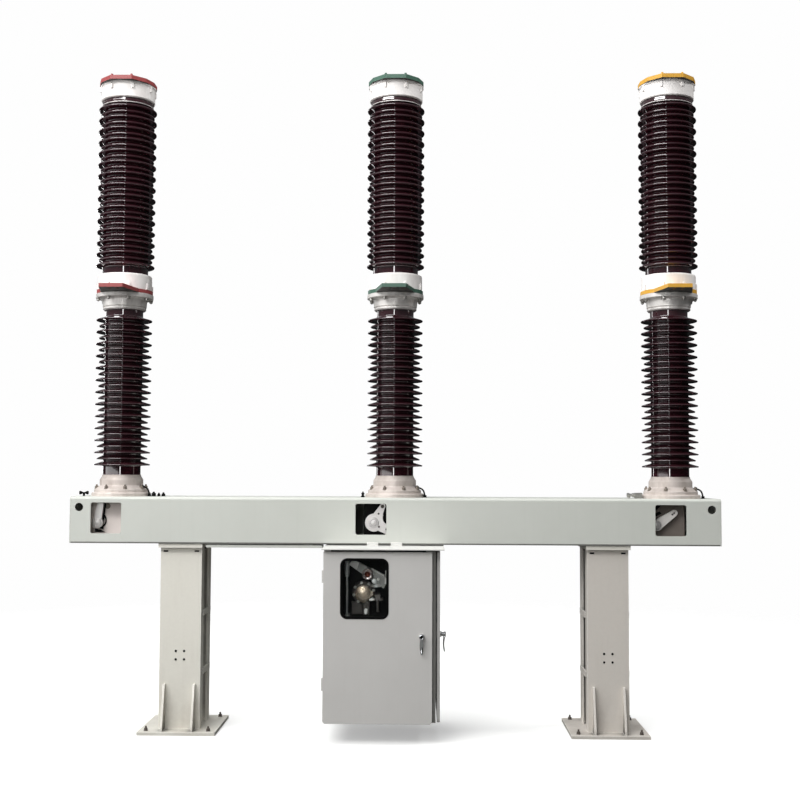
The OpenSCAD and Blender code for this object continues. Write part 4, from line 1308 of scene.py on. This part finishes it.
@dataclass
class Anchors:
    """Anchor studs with nuts and washers on a foot plate."""

    side: Side
    inset: float = 46.0
    nut: float = 19.0
    stud: float = 13.0
    plate_t: float = 20.0

    def build(self) -> None:
        """Stand a stud at each corner."""
        low, high = box_mm(f"{self.side.value}_foot")
        shapes = []
        for x in (low.x + self.inset, high.x - self.inset):
            for y in (low.y + self.inset, high.y - self.inset):
                place = (x, y, low.z + self.plate_t)
                shapes.append(hex_bolt(self.nut, self.stud).placed(standing(place, spin_deg=x + y)))
        Shape.joined(shapes).piece(f"{self.side.value}_anchor_studs", ANCHOR_STEEL)


@dataclass
class LegPlugs:
    """Black plugs in the small openings of a leg's webs."""

    side: Side
    vent: Point = (28.0, 10.0)
    vent_t: float = 2.4
    vent_at: Point = (94.0, 1082.0)
    earth_at: Point = (25.0, 458.0)
    earth_spread: float = 25.0
    earth_r: float = 7.0
    half_depth: float = 155.0

    def build(self) -> None:
        """Press the plugs into the front web, and those of the vents into the back web too."""
        low, high = box_mm(f"{self.side.value}_leg")
        axis = (low.x + high.x) / 2
        half_w, half_h = self.vent[0] / 2, self.vent[1] / 2
        vent = slab([
            (-half_w, -half_h), (half_w, -half_h), (half_w, half_h), (-half_w, half_h),
        ], self.vent_t, 1.0)
        stopper = turned([(self.earth_r, 0, 0), (self.earth_r, 2.0, 1), (2, 3.0, 0)], 24)
        shapes = []
        for sign in (-1, 1):
            place = facing((sign * self.vent_at[0], -self.half_depth, self.vent_at[1]))
            shapes += [vent.placed(place), vent.placed(Matrix.Rotation(math.pi, 4, "Z") @ place)]
            for level in (-1, 1):
                height = self.earth_at[1] + level * self.earth_spread
                shapes.append(stopper.placed(facing((sign * self.earth_at[0], -self.half_depth, height))))
        plugs = Shape.joined(shapes).placed(Matrix.Translation((axis * MM, 0.0, 0.0)))
        plugs.piece(f"{self.side.value}_leg_plugs", SEAL_RUBBER)


@dataclass(frozen=True)
class SoftBox:
    """A flat lamp: where it hangs, what it points at, its size in metres and its power."""

    name: str
    place: Corner
    aim: Corner
    size: Point
    watts: float
    mirrored: bool = True

    def hang(self) -> None:
        """Hang the lamp; one that isn't mirrored lights the object and leaves no gleam on gloss."""
        data = bpy.data.lights.new(self.name, "AREA")
        data.shape = "RECTANGLE"
        data.size, data.size_y = self.size
        data.energy = self.watts
        lamp = bpy.data.objects.new(self.name, data)
        lamp.location = self.place
        lamp.rotation_euler = (Vector(self.aim) - Vector(self.place)).to_track_quat("-Z", "Y").to_euler()
        lamp.visible_glossy = self.mirrored
        bpy.context.scene.collection.objects.link(lamp)


@dataclass
class Studio:
    """Camera, floor and soft light."""

    camera_at: Corner = (0.17716, -7.23408, 1.5746)
    yaw: float = -0.0202
    pitch: float = 0.0604
    roll: float = 0.004
    focal_px: float = 1165.45
    frame_px: float = 800.0
    sensor_mm: float = 36.0
    floor_m: float = 60.0
    floor_fade_m: Point = (3.2, 7.5)
    floor_seen: str = "#d8d8d6"
    floor_lift: float = 0.36
    floor_bounce: str = "#626260"
    backdrop: str = "#fefefe"
    glow: str = "#f2f5f8"
    bright_side: Corner = (-0.93, -0.2, 0.3)
    glow_span: Point = (-0.25, 0.45)
    glow_levels: Point = (0.26, 0.6)
    sky_span: Point = (0.0, 0.6)
    sky_levels: Point = (0.04, 1.0)
    soft_boxes: Sequence[SoftBox] = (
        SoftBox("sky_panel", (-5.2, -7.0, 7.6), (0.0, 0.0, 2.2), (9.0, 1.8), 795.0),
        SoftBox("low_window", (-5.7, -3.6, 2.3), (0.0, 0.0, 2.3), (12.0, 1.8), 120.0),
        SoftBox("door_gap", (-1.0, -9.6, 3.4), (0.0, 0.0, 2.6), (0.8, 5.0), 115.0),
        SoftBox("left_strip", (-5.5, 7.4, 3.4), (0.0, 0.0, 2.4), (0.5, 5.0), 60.0),
        SoftBox("top_light", (-2.0, -1.0, 8.5), (-0.5, 0.0, 1.0), (7.0, 8.0), 560.0, mirrored=False),
        SoftBox("right_lamp", (8.0, 0.3, 8.0), (0.0, 0.0, 3.4), (3.0, 1.0), 420.0, mirrored=False),
        SoftBox("back_fill", (-3.5, 9.0, 5.0), (0.0, 0.0, 2.0), (6.0, 4.0), 160.0, mirrored=False),
    )

    def build(self) -> None:
        """Set up the camera, the floor and the lights."""
        self.camera()
        self.floor()
        self.lights()
        self.surroundings()

    def camera(self) -> None:
        """Stand the camera where the photograph was taken, at eye height."""
        yaw, pitch, roll = self.yaw, self.pitch, self.roll
        ahead = Vector((math.sin(yaw) * math.cos(pitch), math.cos(yaw) * math.cos(pitch), math.sin(pitch)))
        right = Vector((math.cos(yaw), -math.sin(yaw), 0.0))
        up = right.cross(ahead)
        tilted_right = right * math.cos(roll) + up * math.sin(roll)
        tilted_up = up * math.cos(roll) - right * math.sin(roll)
        data = bpy.data.cameras.new("camera")
        data.sensor_width = self.sensor_mm
        data.lens = self.sensor_mm * self.focal_px / self.frame_px
        camera = bpy.data.objects.new("camera", data)
        turn = Matrix((tilted_right, tilted_up, -ahead)).transposed().to_4x4()
        camera.matrix_world = Matrix.Translation(Vector(self.camera_at)) @ turn
        bpy.context.scene.collection.objects.link(camera)
        bpy.context.scene.camera = camera

    def floor(self) -> None:
        """Lay a plain pale floor that thins out into the white around it."""
        half = self.floor_m / 2
        mesh = bpy.data.meshes.new("floor")
        corners = [(-half, -half, 0), (half, -half, 0), (half, half, 0), (-half, half, 0)]
        mesh.from_pydata(corners, [], [(0, 1, 2, 3)])
        material = bpy.data.materials.new("pale_floor")
        material.use_nodes = True
        tree = material.node_tree
        tree.nodes.clear()
        path = add_node(tree, "ShaderNodeLightPath")
        place = add_node(tree, "ShaderNodeTexCoord").outputs["Object"]
        away = add_node(tree, "ShaderNodeVectorMath", {0: place}, operation="LENGTH")
        near, far = self.floor_fade_m
        fade = add_node(tree, "ShaderNodeMapRange", {
            "Value": away.outputs["Value"], "From Min": near, "From Max": far,
        }, interpolation_type="SMOOTHSTEP")
        lit = add_node(tree, "ShaderNodeBsdfDiffuse", {"Color": linear(self.floor_seen)})
        lift = add_node(tree, "ShaderNodeEmission", {"Color": linear("#ffffff"), "Strength": self.floor_lift})
        seen = add_node(tree, "ShaderNodeAddShader", {0: lit.outputs["BSDF"], 1: lift.outputs["Emission"]})
        bounced = add_node(tree, "ShaderNodeBsdfDiffuse", {"Color": linear(self.floor_bounce)})
        clear = add_node(tree, "ShaderNodeBsdfTransparent")
        pale = add_node(tree, "ShaderNodeMixShader", {
            0: path.outputs["Is Camera Ray"], 1: bounced.outputs["BSDF"], 2: seen.outputs["Shader"],
        })
        thinned = add_node(tree, "ShaderNodeMixShader", {
            0: fade.outputs["Result"], 1: pale.outputs["Shader"], 2: clear.outputs["BSDF"],
        })
        add_node(tree, "ShaderNodeOutputMaterial", {"Surface": thinned.outputs["Shader"]})
        mesh.materials.append(material)
        floor = bpy.data.objects.new("floor", mesh)
        bpy.context.scene.collection.objects.link(floor)

    def lights(self) -> None:
        """Hang the soft boxes."""
        for box in self.soft_boxes:
            box.hang()

    def surroundings(self) -> None:
        """White behind everything, with light that is stronger from the left front than from the right."""
        world = bpy.data.worlds.new("studio")
        world.use_nodes = True
        bpy.context.scene.world = world
        tree = world.node_tree
        tree.nodes.clear()
        direction = add_node(tree, "ShaderNodeTexCoord").outputs["Generated"]
        aim = tuple(Vector(self.bright_side).normalized())
        toward = add_node(tree, "ShaderNodeVectorMath", {0: direction, 1: aim}, operation="DOT_PRODUCT")
        height = add_node(tree, "ShaderNodeSeparateXYZ", {"Vector": direction})
        shares = []
        for value, span, levels in (
            (toward.outputs["Value"], self.glow_span, self.glow_levels),
            (height.outputs["Z"], self.sky_span, self.sky_levels),
        ):
            shares.append(add_node(tree, "ShaderNodeMapRange", {
                "Value": value, "From Min": span[0], "From Max": span[1],
                "To Min": levels[0], "To Max": levels[1],
            }).outputs["Result"])
        strength = add_node(tree, "ShaderNodeMath", {0: shares[0], 1: shares[1]}, operation="MULTIPLY")
        seen = add_node(tree, "ShaderNodeBackground", {"Color": linear(self.backdrop), "Strength": 1.0})
        glow = add_node(tree, "ShaderNodeBackground", {
            "Color": linear(self.glow), "Strength": strength.outputs["Value"],
        })
        path = add_node(tree, "ShaderNodeLightPath")
        both = add_node(tree, "ShaderNodeMixShader", {
            0: path.outputs["Is Camera Ray"], 1: glow.outputs["Background"], 2: seen.outputs["Background"],
        })
        add_node(tree, "ShaderNodeOutputWorld", {"Surface": both.outputs["Shader"]})
        bpy.context.scene.view_settings.view_transform = "Standard"


def dress(frame: dict) -> None:
    """Give every node of the frame its finish by its slot.
    """
    for row in frame["record"]["subparts"]:
        node = frame["nodes"][row["node"]]
        finish = OWN_FINISHES.get(row["node"], FINISHES[row["material_slot"]])
        node.data.materials.clear()
        node.data.materials.append(finish.material())
        LOG.info("dressed %s in %s", node.name, finish.name)


def main() -> None:
    """Load the frame and build the looks around it."""
    logging.basicConfig(level=logging.INFO, format="%(message)s")
    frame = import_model()
    Studio().build()
    dress(frame)
    for pole in Pole:
        PoleColumn(pole).build()
    CrankWindow(Pole.LEFT, shaft=(-1811, 1251), ring_r=27, screws=[(80, 132, 13)]).build()
    CrankWindow(
        Pole.MIDDLE, shaft=(-122, 1258), ring_r=30, screws=[(62, 61, 9), (62, 111, 15), (-38, 40, 9)],
    ).build()
    CrankWindow(Pole.RIGHT, shaft=(1589, 1251), ring_r=27, screws=[(35, 112.4, 8)]).build()
    LeftLinkage().build()
    RightLinkage().build()
    Mechanism().build()
    SwingHandle("front", spindle=(170, -450, 620), outward=FRONTWARD).build()
    SwingHandle("side", spindle=(277, -337, 620), outward=RIGHTWARD).build()
    PaneSeal().build()
    for side in Side:
        Anchors(side).build()
        LegPlugs(side).build()


if __name__ == "__main__":
    main()
